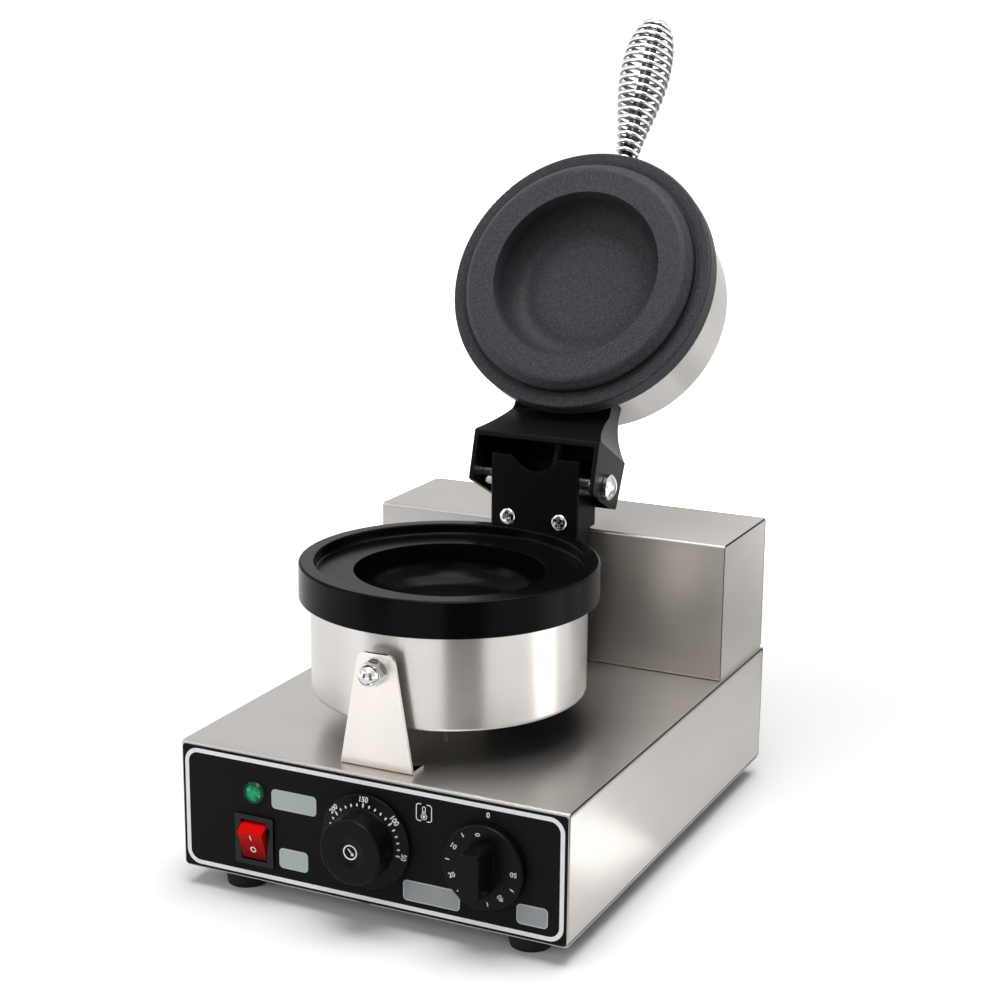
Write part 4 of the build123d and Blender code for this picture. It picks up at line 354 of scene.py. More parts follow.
def plated_steel(tree, shader, place, code, roughness, cell):
    """Zinc plate, oxidised tube or turned metal: an even dull metal with slight clouds."""
    clouds = pattern(tree, place, cell, {"Detail": 4.0})
    tone = add_node(tree, "ShaderNodeMix", {
        0: clouds, 6: rgba(from_hex(code), 0.8), 7: rgba(from_hex(code), 1.1)}, data_type="RGBA")
    feed(tree, shader, {
        "Base Color": tone.outputs[2], "Metallic": 1.0,
        "Roughness": add_node(
            tree, "ShaderNodeMapRange", (clouds, 0.0, 1.0, roughness - 0.08, roughness + 0.08)),
        "Normal": add_node(tree, "ShaderNodeBump", {
            "Height": clouds, "Strength": 0.1, "Distance": 0.1 * MM})})


# Coats and plastics
def grained_coat(
        tree, shader, place, colour, roughness, cell, bump, sparkle=0.0, edge=0.4, specular=0.5, recess=0.0):
    """A sprayed or moulded surface: grain in its height and gloss, and softened edges. If asked, it has
    bright flakes, and painted shade in its corners and hollows. Cell, bump and edge are in millimetres."""
    paint = getattr(settings().coat, colour)
    grain = pattern(tree, place, cell, {"Detail": 3.0, "Roughness": 0.65})
    tone = add_node(tree, "ShaderNodeMix", {
        0: grain, 6: rgba(paint, 0.8), 7: rgba(paint, 1.2)}, data_type="RGBA")
    if sparkle:
        # Real flakes are finer than this and wouldn't show
        flake = 0.55
        specks = pattern(tree, place, flake, kind="ShaderNodeTexVoronoi").outputs["Color"]
        chosen = add_node(tree, "ShaderNodeMapRange", (
            add_node(tree, "ShaderNodeSeparateColor", (specks,)), 0.55, 1.0, 0.0, sparkle))
        tone = add_node(tree, "ShaderNodeMix", {
            0: chosen, 6: tone.outputs[2], 7: rgba(from_hex("8E9095"))}, data_type="RGBA")
    if recess:
        # Painted shade: the tone is darkened where the part's own shape closes round the surface
        corner_shade_reach = 25 * MM
        hollow = add_node(
            tree, "ShaderNodeAmbientOcclusion", {"Distance": corner_shade_reach}, samples=8, only_local=True)
        painted_corner_shade = add_node(tree, "ShaderNodeMapRange", (hollow.outputs["AO"], 0.58, 0.97, 1.0 - recess, 1.0))
        tone = add_node(tree, "ShaderNodeMix", {
            0: 1.0, 6: tone.outputs[2], 7: painted_corner_shade}, data_type="RGBA", blend_type="MULTIPLY")
    feed(tree, shader, {
        "Base Color": tone.outputs[2], "Specular IOR Level": specular,
        "Roughness": add_node(
            tree, "ShaderNodeMapRange", (grain, 0.3, 0.7, roughness - 0.05, roughness + 0.05)),
        "Normal": add_node(tree, "ShaderNodeBump", {
            "Height": grain, "Strength": 0.6, "Distance": bump * MM,
            "Normal": add_node(tree, "ShaderNodeBevel", (edge * MM,), samples=4)})})


def label_print(tree, shader, place):
    """Printed polycarbonate label: grey-green on the left, grey on the right, with a faint screen grain."""
    coat = settings().coat
    across = add_node(tree, "ShaderNodeSeparateXYZ", (place,)).outputs["X"]
    side = add_node(tree, "ShaderNodeMath", (across, 0.0), operation="GREATER_THAN")
    colour = add_node(tree, "ShaderNodeMix", {
        0: side, 6: rgba(coat.left_labels), 7: rgba(coat.right_labels)}, data_type="RGBA")
    grain = add_node(tree, "ShaderNodeMapRange", (pattern(tree, place, 0.8), 0.0, 1.0, 0.9, 1.08))
    shade = add_node(tree, "ShaderNodeMix", {
        0: 1.0, 6: colour.outputs[2], 7: grain}, data_type="RGBA", blend_type="MULTIPLY")
    feed(tree, shader, {"Base Color": shade.outputs[2], "Roughness": 0.5, "Specular IOR Level": 0.3})


def rocker_plastic(tree, shader, place):
    """Red polycarbonate, moulded and glossy, with painted light: deep red below, lighter at its top."""
    colour = settings().coat.rocker
    low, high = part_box("switch_rocker")
    height = add_node(tree, "ShaderNodeMapRange", (
        add_node(tree, "ShaderNodeSeparateXYZ", (place,)).outputs["Z"], low.z, high.z))
    # Painted light from above: the tone runs from a dark copy of the red at the bottom to a lighter one at the
    # top
    tone = add_node(tree, "ShaderNodeMix", {
        0: height, 6: rgba(colour, 0.22), 7: rgba(colour, 1.1)}, data_type="RGBA")
    feed(tree, shader, {
        "Base Color": tone.outputs[2], "Roughness": 0.24, "IOR": 1.58, "Specular IOR Level": 0.04,
        "Normal": add_node(tree, "ShaderNodeBump", {
            "Height": pattern(tree, place, 5), "Strength": 0.05, "Distance": 0.1 * MM,
            "Normal": add_node(tree, "ShaderNodeBevel", (0.3 * MM,), samples=4)})})


def lamp_plastic(tree, shader, place):
    """Clear green acrylic, moulded with facets inside: its bright middle and light and dark facet spokes are
    painted light, with a dark rim, and it glows faintly.
    """
    colour = settings().coat.lamp
    away = add_node(tree, "ShaderNodeVectorMath", (place, LAMP), operation="SUBTRACT")
    flat = add_node(tree, "ShaderNodeVectorMath", (away, (1, 0, 1)), operation="MULTIPLY")
    reach = add_node(tree, "ShaderNodeVectorMath", (flat,), operation="LENGTH")
    rim = add_node(tree, "ShaderNodeMapRange", (reach.outputs["Value"], 4.4 * MM, 5.4 * MM))
    x, _, z = add_node(tree, "ShaderNodeSeparateXYZ", (away,)).outputs
    angle = add_node(tree, "ShaderNodeMath", (z, x), operation="ARCTAN2")
    facet = add_node(tree, "ShaderNodeMath", (angle, 20.0), operation="MULTIPLY")
    prisms = add_node(tree, "ShaderNodeMath", (facet,), operation="SINE")
    # Painted light: the facets as spokes of light and dark green
    painted_facet_light = add_node(tree, "ShaderNodeMix", {
        0: add_node(tree, "ShaderNodeMapRange", (prisms, -0.6, 0.8)),
        6: rgba(colour, 0.15), 7: rgba(colour, 1.9)}, data_type="RGBA")
    tone = add_node(tree, "ShaderNodeMix", {
        0: rim, 6: painted_facet_light.outputs[2], 7: rgba(colour, 0.12)}, data_type="RGBA")
    feed(tree, shader, {
        "Base Color": tone.outputs[2], "Roughness": 0.14, "IOR": 1.49, "Specular IOR Level": 0.3,
        "Emission Color": tone.outputs[2], "Emission Strength": 0.18})


def sheath(tree, shader, place):
    """Woven glass sleeve over a lead: fine raised plait, matte and dark."""
    weave = pattern(tree, place, 1, {
        "Mortar Size": 0.12, "Brick Width": 1.0, "Row Height": 0.6, "Color1": rgba(from_hex("2A2A2C")),
        "Color2": rgba(from_hex("1C1C1E")), "Mortar": rgba(from_hex("0C0C0D")),
    }, "ShaderNodeTexBrick", (0, pi / 4, pi / 4))
    feed(tree, shader, {
        "Base Color": weave.outputs["Color"], "Roughness": 0.62,
        "Normal": add_node(tree, "ShaderNodeBump", {
            "Height": weave.outputs["Fac"], "Strength": 0.5, "Distance": 0.15 * MM})})


def fibre(tree, shader, place):
    """Ceramic fibre packing, pressed: soft white wool with short fibres."""
    wool = pattern(tree, place, (3, 1, 1), {"Detail": 6.0, "Distortion": 1.5})
    tone = add_node(tree, "ShaderNodeMix", {
        0: wool, 6: rgba(from_hex("CFC9BC")), 7: rgba(from_hex("F1EEE6"))}, data_type="RGBA")
    feed(tree, shader, {
        "Base Color": tone.outputs[2], "Roughness": 0.95, "Sheen Weight": 0.3,
        "Normal": add_node(tree, "ShaderNodeBump", {
            "Height": wool, "Strength": 0.8, "Distance": 0.6 * MM})})


INK_COAT = dict(roughness=0.5, cell=0.5, bump=0.005, edge=0.05, specular=0.2)

# Each finish: what makes it, its choices, and the carried-over nodes that wear it
FINISHES = {
    # Brushed stainless sheet: soft streaks, with highlights drawn out across them. The grain runs from side to
    # side on the base cover and the rear box. Each level scales the one sheet colour, so these are lighter and
    # darker copies of one steel: painted light and shade
    "brushed_stainless_across": (
        sheet_steel, dict(grain="x", level=0.86, roughness=0.34), "base_shell"),
    "brushed_stainless_box": (
        sheet_steel, dict(grain="x", level=0.82, roughness=0.33), "rear_box_shell rear_box_back_cover"),
    # From front to rear on the side sheets
    "brushed_stainless_lengthwise": (
        sheet_steel, dict(grain="y", level=0.87, roughness=0.33), "base_sides"),
    "brushed_stainless_box_side": (
        sheet_steel, dict(grain="y", level=0.82, roughness=0.33), "rear_box_sides"),
    # Upright on the front bracket: the same steel, painted much lighter as painted light
    "brushed_stainless_upright": (
        sheet_steel, dict(grain="z", level=1.4, roughness=0.36), "front_bracket"),
    # Stainless cups, turned: bright bands up and down the wall, and painted shade on the lower one's underside
    "turned_stainless_lower": (
        drum_steel, dict(centre=LOWER_DRUM, lean=0.0, shaded_underside=True), "lower_drum_shell"),
    "turned_stainless_upper": (
        drum_steel, dict(centre=LID_CENTRE, lean=LEAN, shaded_underside=False), "upper_drum_shell"),
    # Plated and polished: a mirror with a faint haze
    "polished_steel": (
        bright_steel, {},
        "dome_nut front_bracket_screws bottom_plate_screws rear_box_screws hinge_bracket_screws hinge_bolts "
        "hinge_spacers upper_bracket_screws handle_nuts handle_spring"),
    # Drawn and tumbled wire: painted light on its outer faces, painted shade on the faces towards the rod
    "drawn_spring_wire": (wire_steel, {}, ""),
    # The rod inside the coil, plated once. Its dark tone is painted shade inside the coil
    "drawn_rod": (plated_steel, dict(code="5A5958", roughness=0.3, cell=6), "handle_rod"),
    # Zinc plate: even, light and dull
    "zinc_plated_steel": (
        plated_steel, dict(code="A9ABAE", roughness=0.38, cell=8),
        "bottom_plate hinge_post rear_stud rear_spacer stud_nuts hinge_nuts lower_centre_bolt "
        "upper_centre_bolt front_stud front_spacer dial_nuts hinge_post_screws foot_screws"),
    # Steel tube, browned by its own heat
    "oxidised_heater_tube": (
        plated_steel, dict(code="6E6862", roughness=0.5, cell=4),
        "lower_heating_element upper_heating_element"),
    # Tinned copper of the thermostat's bulb and its fine tube: soft dull grey
    "tinned_copper": (plated_steel, dict(code="7C7670", roughness=0.42, cell=6), "thermostat_bulb"),
    # Turned brass: yellow with a soft shine
    "turned_brass": (
        plated_steel, dict(code="CBAE6A", roughness=0.28, cell=6), "thermostat_spindle timer_spindle"),
    # Cast aluminium with a sprayed non-stick coat: a fine rough grain with sparse bright flakes, and painted
    # shade in its corners
    "sparkle_cast_coat": (
        grained_coat,
        dict(
            colour="lid_casting", roughness=0.45, cell=0.6, bump=0.06, sparkle=0.16, specular=0.1,
            recess=0.9),
        "upper_mould_plate"),
    # The lower plate's coat, smoother and worn to a soft gloss
    "smooth_cast_coat": (
        grained_coat,
        dict(colour="lower_casting", roughness=0.22, cell=1.2, bump=0.004, edge=0.8, specular=0.05),
        "lower_mould_plate"),
    # Baked powder coat on folded steel: slight orange peel, soft light on the edges
    "satin_powder_coat": (
        grained_coat, dict(colour="brackets", roughness=0.32, cell=1.4, bump=0.008, edge=0.8, specular=0.07),
        "lower_hinge_bracket upper_hinge_bracket"),
    # Printed polycarbonate film: flat black with a fine texture
    "printed_film": (
        grained_coat, dict(colour="panel", roughness=0.52, cell=0.6, bump=0.01, specular=0.05),
        "control_overlay"),
    # Printed polycarbonate: flat grey with a faint grain
    "label_film": (label_print, {}, "label_plates"),
    # Moulded phenolic plastic: dull black with a soft sheen on its rounded edges
    "moulded_phenolic": (
        grained_coat, dict(colour="knobs", roughness=0.3, cell=0.9, bump=0.003, edge=0.6, specular=0.1),
        "thermostat_knob timer_knob"),
    # Moulded nylon: glossier, with sharper edges
    "moulded_nylon": (
        grained_coat, dict(colour="fittings", roughness=0.24, cell=2.0, bump=0.004, edge=0.3, specular=0.25),
        "switch_housing pilot_lamp_body thermostat_body timer_body cable_gland"),
    # Steatite: fired, off-white, slightly glossy
    "fired_steatite": (
        grained_coat, dict(colour="terminals", roughness=0.35, cell=1.5, bump=0.02), "terminal_block"),
    # Moulded rubber: matte with a slight bloom
    "moulded_rubber": (
        grained_coat, dict(colour="feet", roughness=0.7, cell=1.5, bump=0.06, edge=0.8, specular=0.3),
        "rubber_feet"),
    # Moulded plastics of the switch and the lamp: deep glossy red, and green with facets, both with painted
    # light
    "red_polycarbonate": (rocker_plastic, {}, "switch_rocker"),
    "green_acrylic": (lamp_plastic, {}, "pilot_lamp_lens"),
    # Woven glass and pressed fibre: both matte, one dark and plaited, the other white and woolly
    "woven_sleeve": (sheath, {}, "lower_heater_leads lid_cable post_cable lead_sleeve"),
    "ceramic_fibre": (fibre, {}, "lower_insulation upper_insulation"),
    # Screen ink: opaque, slightly raised, matte
    "screen_ink": (grained_coat, dict(colour="ink", **INK_COAT), ""),
    "label_ink": (grained_coat, dict(colour="label_ink", **INK_COAT), ""),
}


# Helpers for meshes
def new_object(name, data):
    made = bpy.data.objects.new(name, data)
    bpy.context.scene.collection.objects.link(made)
    return made


def evaluated(holder):
    """What an object's modifiers, curve or text come to, as a new mesh."""
    graph = bpy.context.evaluated_depsgraph_get()
    return bpy.data.meshes.new_from_object(holder.evaluated_get(graph))


def ring_faces(rings, around, closed=False):
    """Faces between rings of corners. The last ring meets the first, or both ends get a face."""
    faces = [
        (ring * around + side, ring * around + (side + 1) % around,
         (ring + 1) % rings * around + (side + 1) % around, (ring + 1) % rings * around + side)
        for ring in range(rings if closed else rings - 1) for side in range(around)
    ]
    if not closed:
        faces += [tuple(range(around)), tuple(range((rings - 1) * around, rings * around))]
    return faces


def mesh_piece(name, verts, faces, material):
    """A flat-shaded mesh object at the origin, with its faces pointing outwards."""
    mesh = bpy.data.meshes.new(name)
    mesh.from_pydata([tuple(v) for v in verts], [], faces)
    work = bmesh.new()
    work.from_mesh(mesh)
    bmesh.ops.recalc_face_normals(work, faces=work.faces)
    work.to_mesh(mesh)
    work.free()
    mesh.materials.append(finish(material))
    return new_object(name, mesh)


def place_piece(piece, body, stands_for=()):
    """Attaches a finished piece to its body and hides the nodes it stands for."""
    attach(piece, body)
    if stands_for:
        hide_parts(*stands_for)


def joined(name, objects):
    """One mesh object from several of one material, at the origin, with their places applied."""
    bpy.context.view_layer.update()
    merged = bpy.data.meshes.new(name)
    merged.materials.append(objects[0].data.materials[0])
    work = bmesh.new()
    for each in objects:
        mesh = each.data.copy()
        mesh.transform(each.matrix_world)
        work.from_mesh(mesh)
        bpy.data.meshes.remove(mesh)
        bpy.data.objects.remove(each)
    work.to_mesh(merged)
    work.free()
    return new_object(name, merged)


def grow(name, base, tree, **values):
    """Runs a geometry tree on an object and returns the result as a plain mesh object."""
    modifier = base.modifiers.new("grow", "NODES")
    modifier.node_group = tree
    sockets = {item.name: item.identifier for item in tree.interface.items_tree if item.in_out == "INPUT"}
    for title, value in values.items():
        modifier[sockets[title.replace("_", " ").capitalize()]] = value
    mesh = evaluated(base)
    mesh.name = name
    base.modifiers.remove(modifier)
    bpy.data.objects.remove(base)
    if not mesh.polygons:
        raise RuntimeError(f"{name} came out empty")
    return new_object(name, mesh)


def new_tree(name, inputs):
    """A geometry tree with these named inputs and one for its material, as (tree, the inputs' sockets)."""
    tree = bpy.data.node_groups.new(name, "GeometryNodeTree")
    tree.interface.new_socket("Geometry", in_out="INPUT", socket_type="NodeSocketGeometry")
    for title, (kind, default) in inputs.items():
        socket = tree.interface.new_socket(title, in_out="INPUT", socket_type="NodeSocket" + kind)
        socket.default_value = default
    tree.interface.new_socket("Material", in_out="INPUT", socket_type="NodeSocketMaterial")
    tree.interface.new_socket("Geometry", in_out="OUTPUT", socket_type="NodeSocketGeometry")
    return tree, add_node(tree, "NodeGroupInput").outputs


def end_tree(tree, geometry, given):
    """Realises what the tree made and gives it its material."""
    whole = add_node(tree, "GeometryNodeRealizeInstances", {"Geometry": geometry})
    dressed = add_node(tree, "GeometryNodeSetMaterial", {"Geometry": whole, "Material": given["Material"]})
    add_node(tree, "NodeGroupOutput", {"Geometry": dressed})
    return tree


def wire_tree():
    """Sweeps a round section along a curve and closes its ends."""
    tree, given = new_tree("round_wire", {"Radius": ("Float", 1.5 * MM), "Sides": ("Int", 16)})
    section = add_node(tree, "GeometryNodeCurvePrimitiveCircle", {
        "Resolution": given["Sides"], "Radius": given["Radius"]})
    swept = add_node(tree, "GeometryNodeCurveToMesh", {
        "Curve": given["Geometry"], "Profile Curve": section.outputs["Curve"], "Fill Caps": True})
    return end_tree(tree, add_node(tree, "GeometryNodeSetShadeSmooth", {"Geometry": swept}), given)


def screw_tree(head):
    """Sets a screw head and its shank on every point, along the point's facing attribute."""
    tree, given = new_tree("screws", {
        "Head radius": ("Float", 3.6 * MM), "Head height": ("Float", 1.8 * MM),
        "Shank radius": ("Float", 1.8 * MM), "Shank length": ("Float", 7 * MM)})
    facing = add_node(tree, "GeometryNodeInputNamedAttribute", {"Name": "facing"}, data_type="FLOAT_VECTOR")
    aim = add_node(tree, "FunctionNodeAlignRotationToVector", {"Vector": facing}, axis="Z")
    turn = add_node(tree, "FunctionNodeRandomValue", {2: 0.0, 3: pi / 2, "Seed": 4})
    spin = add_node(tree, "FunctionNodeAxisAngleToRotation", {"Axis": (0, 0, 1), "Angle": turn.outputs[1]})
    rotation = add_node(tree, "FunctionNodeRotateRotation", {
        "Rotation": aim, "Rotate By": spin}, rotation_space="LOCAL")
    wide, tall = given["Head radius"], given["Head height"]
    size = add_node(tree, "ShaderNodeCombineXYZ", (wide, wide, tall))
    heads = add_node(tree, "GeometryNodeInstanceOnPoints", {
        "Points": given["Geometry"], "Rotation": rotation, "Scale": size,
        "Instance": add_node(tree, "GeometryNodeObjectInfo", {"Object": head}).outputs["Geometry"]})
    shank = add_node(tree, "GeometryNodeMeshCylinder", {
        "Vertices": 20, "Radius": given["Shank radius"], "Depth": given["Shank length"]})
    sunk = add_node(tree, "ShaderNodeMath", (given["Shank length"], -0.5), operation="MULTIPLY")
    lowered = add_node(tree, "GeometryNodeTransform", {
        "Geometry": shank.outputs["Mesh"],
        "Translation": add_node(tree, "ShaderNodeCombineXYZ", {"Z": sunk})})
    shanks = add_node(tree, "GeometryNodeInstanceOnPoints", {
        "Points": given["Geometry"], "Instance": lowered, "Rotation": rotation})
    both = add_node(tree, "GeometryNodeJoinGeometry")
    for part in (heads, shanks):
        feed(tree, both, (part,))
    return end_tree(tree, both, given)


def dial_tree():
    """Sets oval marks on a ring, each few of them longer, on a face that may slope away outwards."""
    tree, given = new_tree("dial_marks", {
        "Count": ("Int", 10), "First angle": ("Float", 0.0), "Step": ("Float", 0.1),
        "Ring radius": ("Float", 10 * MM), "Length": ("Float", 1 * MM), "Width": ("Float", 1 * MM),
        "Thickness": ("Float", 0.1 * MM), "Slope": ("Float", 0.0), "Major every": ("Int", 5),
        "Major share": ("Float", 1.5), "Centre": ("Vector", (0, 0, 0))})
    index = add_node(tree, "GeometryNodeInputIndex")
    angle = add_node(
        tree, "ShaderNodeMath", (index, given["Step"], given["First angle"]), operation="MULTIPLY_ADD")
    across = add_node(tree, "ShaderNodeMath", (angle,), operation="COSINE")
    upward = add_node(tree, "ShaderNodeMath", (angle,), operation="SINE")
    place = add_node(tree, "ShaderNodeVectorMath", {
        0: add_node(tree, "ShaderNodeCombineXYZ", (across, upward)), "Scale": given["Ring radius"],
    }, operation="SCALE")
    points = add_node(tree, "GeometryNodePoints", {"Count": given["Count"], "Position": place})
    rest = add_node(tree, "ShaderNodeMath", (index, given["Major every"]), operation="MODULO")
    is_major = add_node(tree, "ShaderNodeMath", (rest, 0.5), operation="LESS_THAN")
    share = add_node(tree, "ShaderNodeMapRange", (is_major, 0.0, 1.0, 1.0, given["Major share"]))
    long_size = add_node(tree, "ShaderNodeMath", (given["Length"], share), operation="MULTIPLY")
    size = add_node(tree, "ShaderNodeCombineXYZ", (long_size, given["Width"], given["Thickness"]))
    turn = add_node(tree, "ShaderNodeCombineXYZ", {"Y": given["Slope"], "Z": angle})
    oval = add_node(tree, "GeometryNodeMeshCylinder", {"Vertices": 20, "Radius": 0.5, "Depth": 1.0})
    marks = add_node(tree, "GeometryNodeInstanceOnPoints", {
        "Points": points, "Instance": oval.outputs["Mesh"], "Scale": size,
        "Rotation": add_node(tree, "FunctionNodeEulerToRotation", {"Euler": turn})})
    whole = add_node(tree, "GeometryNodeRealizeInstances", {"Geometry": marks})
    upright = add_node(tree, "GeometryNodeTransform", {
        "Geometry": whole, "Rotation": (pi / 2, 0, 0), "Translation": given["Centre"]})
    return end_tree(tree, upright, given)


# Pieces
class PRESS_OT_finishes(bpy.types.Operator):
    """Give every carried-over node its finish"""
    bl_idname = "press.finishes"
    bl_label = "Node finishes"

    def execute(self, context):
        for material, (_, _, names) in FINISHES.items():
            for name in names.split():
                NODES[name].data.materials.clear()
                NODES[name].data.materials.append(finish(material))
        return {"FINISHED"}


def swept_wire(name, kind, points, radius, sides, material):
    """A round wire or lead along a line through these points, or, as NURBS, a smooth one near them."""
    curve = bpy.data.curves.new(name + "_path", "CURVE")
    curve.dimensions = "3D"
    spline = curve.splines.new(kind)
    spline.points.add(len(points) - 1)
    for place, point in zip(spline.points, points):
        place.co = (*point, 1)
    spline.order_u = 3
    spline.use_endpoint_u = True
    return grow(
        name, new_object(curve.name, curve), wire_tree(),
        radius=radius, sides=sides, material=finish(material))


def coil_outline(coil):
    """The coil's outline as rows of (length so far, reach from the first turn, radius)."""
    # Past the widest turn the outline is a superellipse of this power
    roundness = 2.3

    def radius_at(reach):
        if reach < coil.belly:
            swell = (1 - cos(pi * reach / coil.belly)) / 2
            return coil.neck_radius + (coil.belly_radius - coil.neck_radius) * swell
        share = min((reach - coil.belly) / (coil.length - coil.belly), 1.0)
        return coil.belly_radius * (1 - share ** roundness) ** (1 / roundness)

    step = 0.05 * MM
    rows = [(0.0, 0.0, radius_at(0.0))]
    while rows[-1][1] < coil.belly or rows[-1][2] > coil.tip_radius:
        length, reach, radius = rows[-1]
        following = radius_at(reach + step)
        rows.append((length + hypot(step, following - radius), reach + step, following))
    return rows


class PRESS_OT_coil_handle(bpy.types.Operator):
    """Wind the coil handle's wire round its rod"""
    bl_idname = "press.coil_handle"
    bl_label = "Coil handle"

    def execute(self, context):
        coil = settings().coil
        rows = coil_outline(coil)
        first = ROD_TIP - LID_ALONG * coil.start
        count = round(coil.turns * coil.steps)
        points, row = [], 0
        for index in range(count + 1):
            target = rows[-1][0] * index / count
            while row < len(rows) - 2 and rows[row + 1][0] < target:
                row += 1
            (before, reach, radius), (after, next_reach, next_radius) = rows[row], rows[row + 1]
            blend = (target - before) / (after - before)
            reach += blend * (next_reach - reach)
            radius += blend * (next_radius - radius)
            angle = -2 * pi * index / coil.steps
            outward = Vector((radius * cos(angle), 0, 0)) - LID_OUT * radius * sin(angle)
            points.append(first + LID_ALONG * reach + outward)
        tail = 3 * MM
        points.insert(0, points[0] + (points[0] - points[1]).normalized() * tail)
        points.append(points[-1] + (points[-1] - points[-2]).normalized() * tail)
        piece = swept_wire("coil_wire", "POLY", points, coil.wire_radius, 16, "drawn_spring_wire")
        place_piece(piece, "lid", ["handle_spring"])
        return {"FINISHED"}


def screw_head():
    """A pan head of unit radius and height, with a tapered cross recess."""
    turns = 40
    outline = [(1.0, 0.0), (1.0, 0.3), (0.98, 0.5), (0.92, 0.7), (0.8, 0.86), (0.6, 0.96), (0.3, 1.0)]
    verts = [
        (reach * cos(2 * pi * side / turns), reach * sin(2 * pi * side / turns), up)
        for reach, up in outline for side in range(turns)
    ]
    head = mesh_piece("pan_head", verts, ring_faces(len(outline), turns), "polished_steel")
    # The recess at its floor and above its mouth: height, half length and half width
    recess = ((0.05, 0.3, 0.12), (1.1, 0.6, 0.17))
    for turn in (0, pi / 2):
        wing = mesh_piece("recess", [
            Matrix.Rotation(turn, 3, "Z") @ Vector((x * long_half, y * wide_half, up))
            for up, long_half, wide_half in recess for x, y in ((1, 1), (-1, 1), (-1, -1), (1, -1))
        ], ring_faces(2, 4), "polished_steel")
        cut = head.modifiers.new("recess", "BOOLEAN")
        cut.operation = "DIFFERENCE"
        cut.object = wing
        carved = evaluated(head)
        head.modifiers.remove(cut)
        head.data = carved
        bpy.data.objects.remove(wing)
    return head


# The pan heads' nodes: slot, head radius and height, shank radius and length, how far the middles lie inside
# the node's box, columns and rows, and the axis that the heads face along, with its sense. In millimetres.
SCREW_SETS = {
    "bottom_plate_screws": ("bright_steel", (3.6, 1.8, 1.8, 7), 3.6, (2, 3), 2, -1),
    "foot_screws": ("zinc_steel", (3.6, 1.8, 1.8, 11), 3.6, (2, 2), 2, -1),
    "rear_box_screws": ("bright_steel", (3.6, 1.8, 1.8, 7), 3.6, (2, 3), 1, 1),
    "hinge_bracket_screws": ("bright_steel", (5.4, 2.3, 2.5, 8), 4.7, (2, 1), 1, -1),
    "front_bracket_screws": ("bright_steel", (4.0, 2.2, 2.0, 6), 4.0, (2, 1), 2, 1),
    "hinge_post_screws": ("zinc_steel", (3.2, 2.0, 2.0, 7), 3.2, (2, 1), 2, 1),
}
# The same four sizes for the screws inside the lid's cup
NECK_SCREWS = (4.2, 2.4, 2.5, 6.5)


def screw_spots(node, height, inset, grid, axis, sense):
    """Places and directions of a node's screws: a grid inside its box, a head's height under its face."""
    low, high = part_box(node)
    direction = Vector((0, 0, 0))
    direction[axis] = sense
    flat = [other for other in range(3) if other != axis]
    spots = []
    for column in range(grid[0]):
        for row in range(grid[1]):
            spot = Vector((0, 0, 0))
            spot[axis] = (high if sense > 0 else low)[axis] - sense * height * MM
            for across, place, many in zip(flat, (column, row), grid):
                first, last = low[across] + inset * MM, high[across] - inset * MM
                spot[across] = first + (last - first) * (0.5 if many == 1 else place / (many - 1))
            spots.append((spot, direction))
    return spots


def neck_spots():
    """The two screws inside the lid's cup, which point out at the hinge side, either side of its middle."""
    wall, depth, apart = 1.2 * MM, 32.5 * MM, radians(15)
    seat = ((LID_DRUM_RADIUS - wall) ** 2 - (NECK_SCREWS[0] * MM) ** 2) ** 0.5
    spots = []
    for side in (-1, 1):
        away = Vector((side * sin(apart), 0, 0)) - LID_ALONG * cos(apart)
        spots.append((LID_CENTRE - LID_OUT * depth + away * seat, -away))
    return spots


class PRESS_OT_screws(bpy.types.Operator):
    """Set the pan-head screws of base, rear box, brackets and feet"""
    bl_idname = "press.screws"
    bl_label = "Screws"

    def execute(self, context):
        head = screw_head()
        tree = screw_tree(head)
        groups = [
            (node, "root", slot, sizes, screw_spots(node, sizes[1], *layout))
            for node, (slot, sizes, *layout) in SCREW_SETS.items()
        ]
        groups.append(("upper_bracket_screws", "lid", "bright_steel", NECK_SCREWS, neck_spots()))
        for node, body, slot, (radius, height, shank, length), spots in groups:
            cloud = bpy.data.meshes.new(node)
            cloud.from_pydata([tuple(place) for place, _ in spots], [], [])
            facing = cloud.attributes.new("facing", "FLOAT_VECTOR", "POINT")
            for entry, (_, direction) in zip(facing.data, spots):
                entry.vector = direction
            piece = grow(
                "set_of_" + node, new_object(node + "_spots", cloud), tree,
                head_radius=radius * MM, head_height=height * MM, shank_radius=shank * MM,
                shank_length=length * MM,
                material=finish("zinc_plated_steel" if slot == "zinc_steel" else "polished_steel"))
            place_piece(piece, body, [node])
        bpy.data.objects.remove(head)
        return {"FINISHED"}


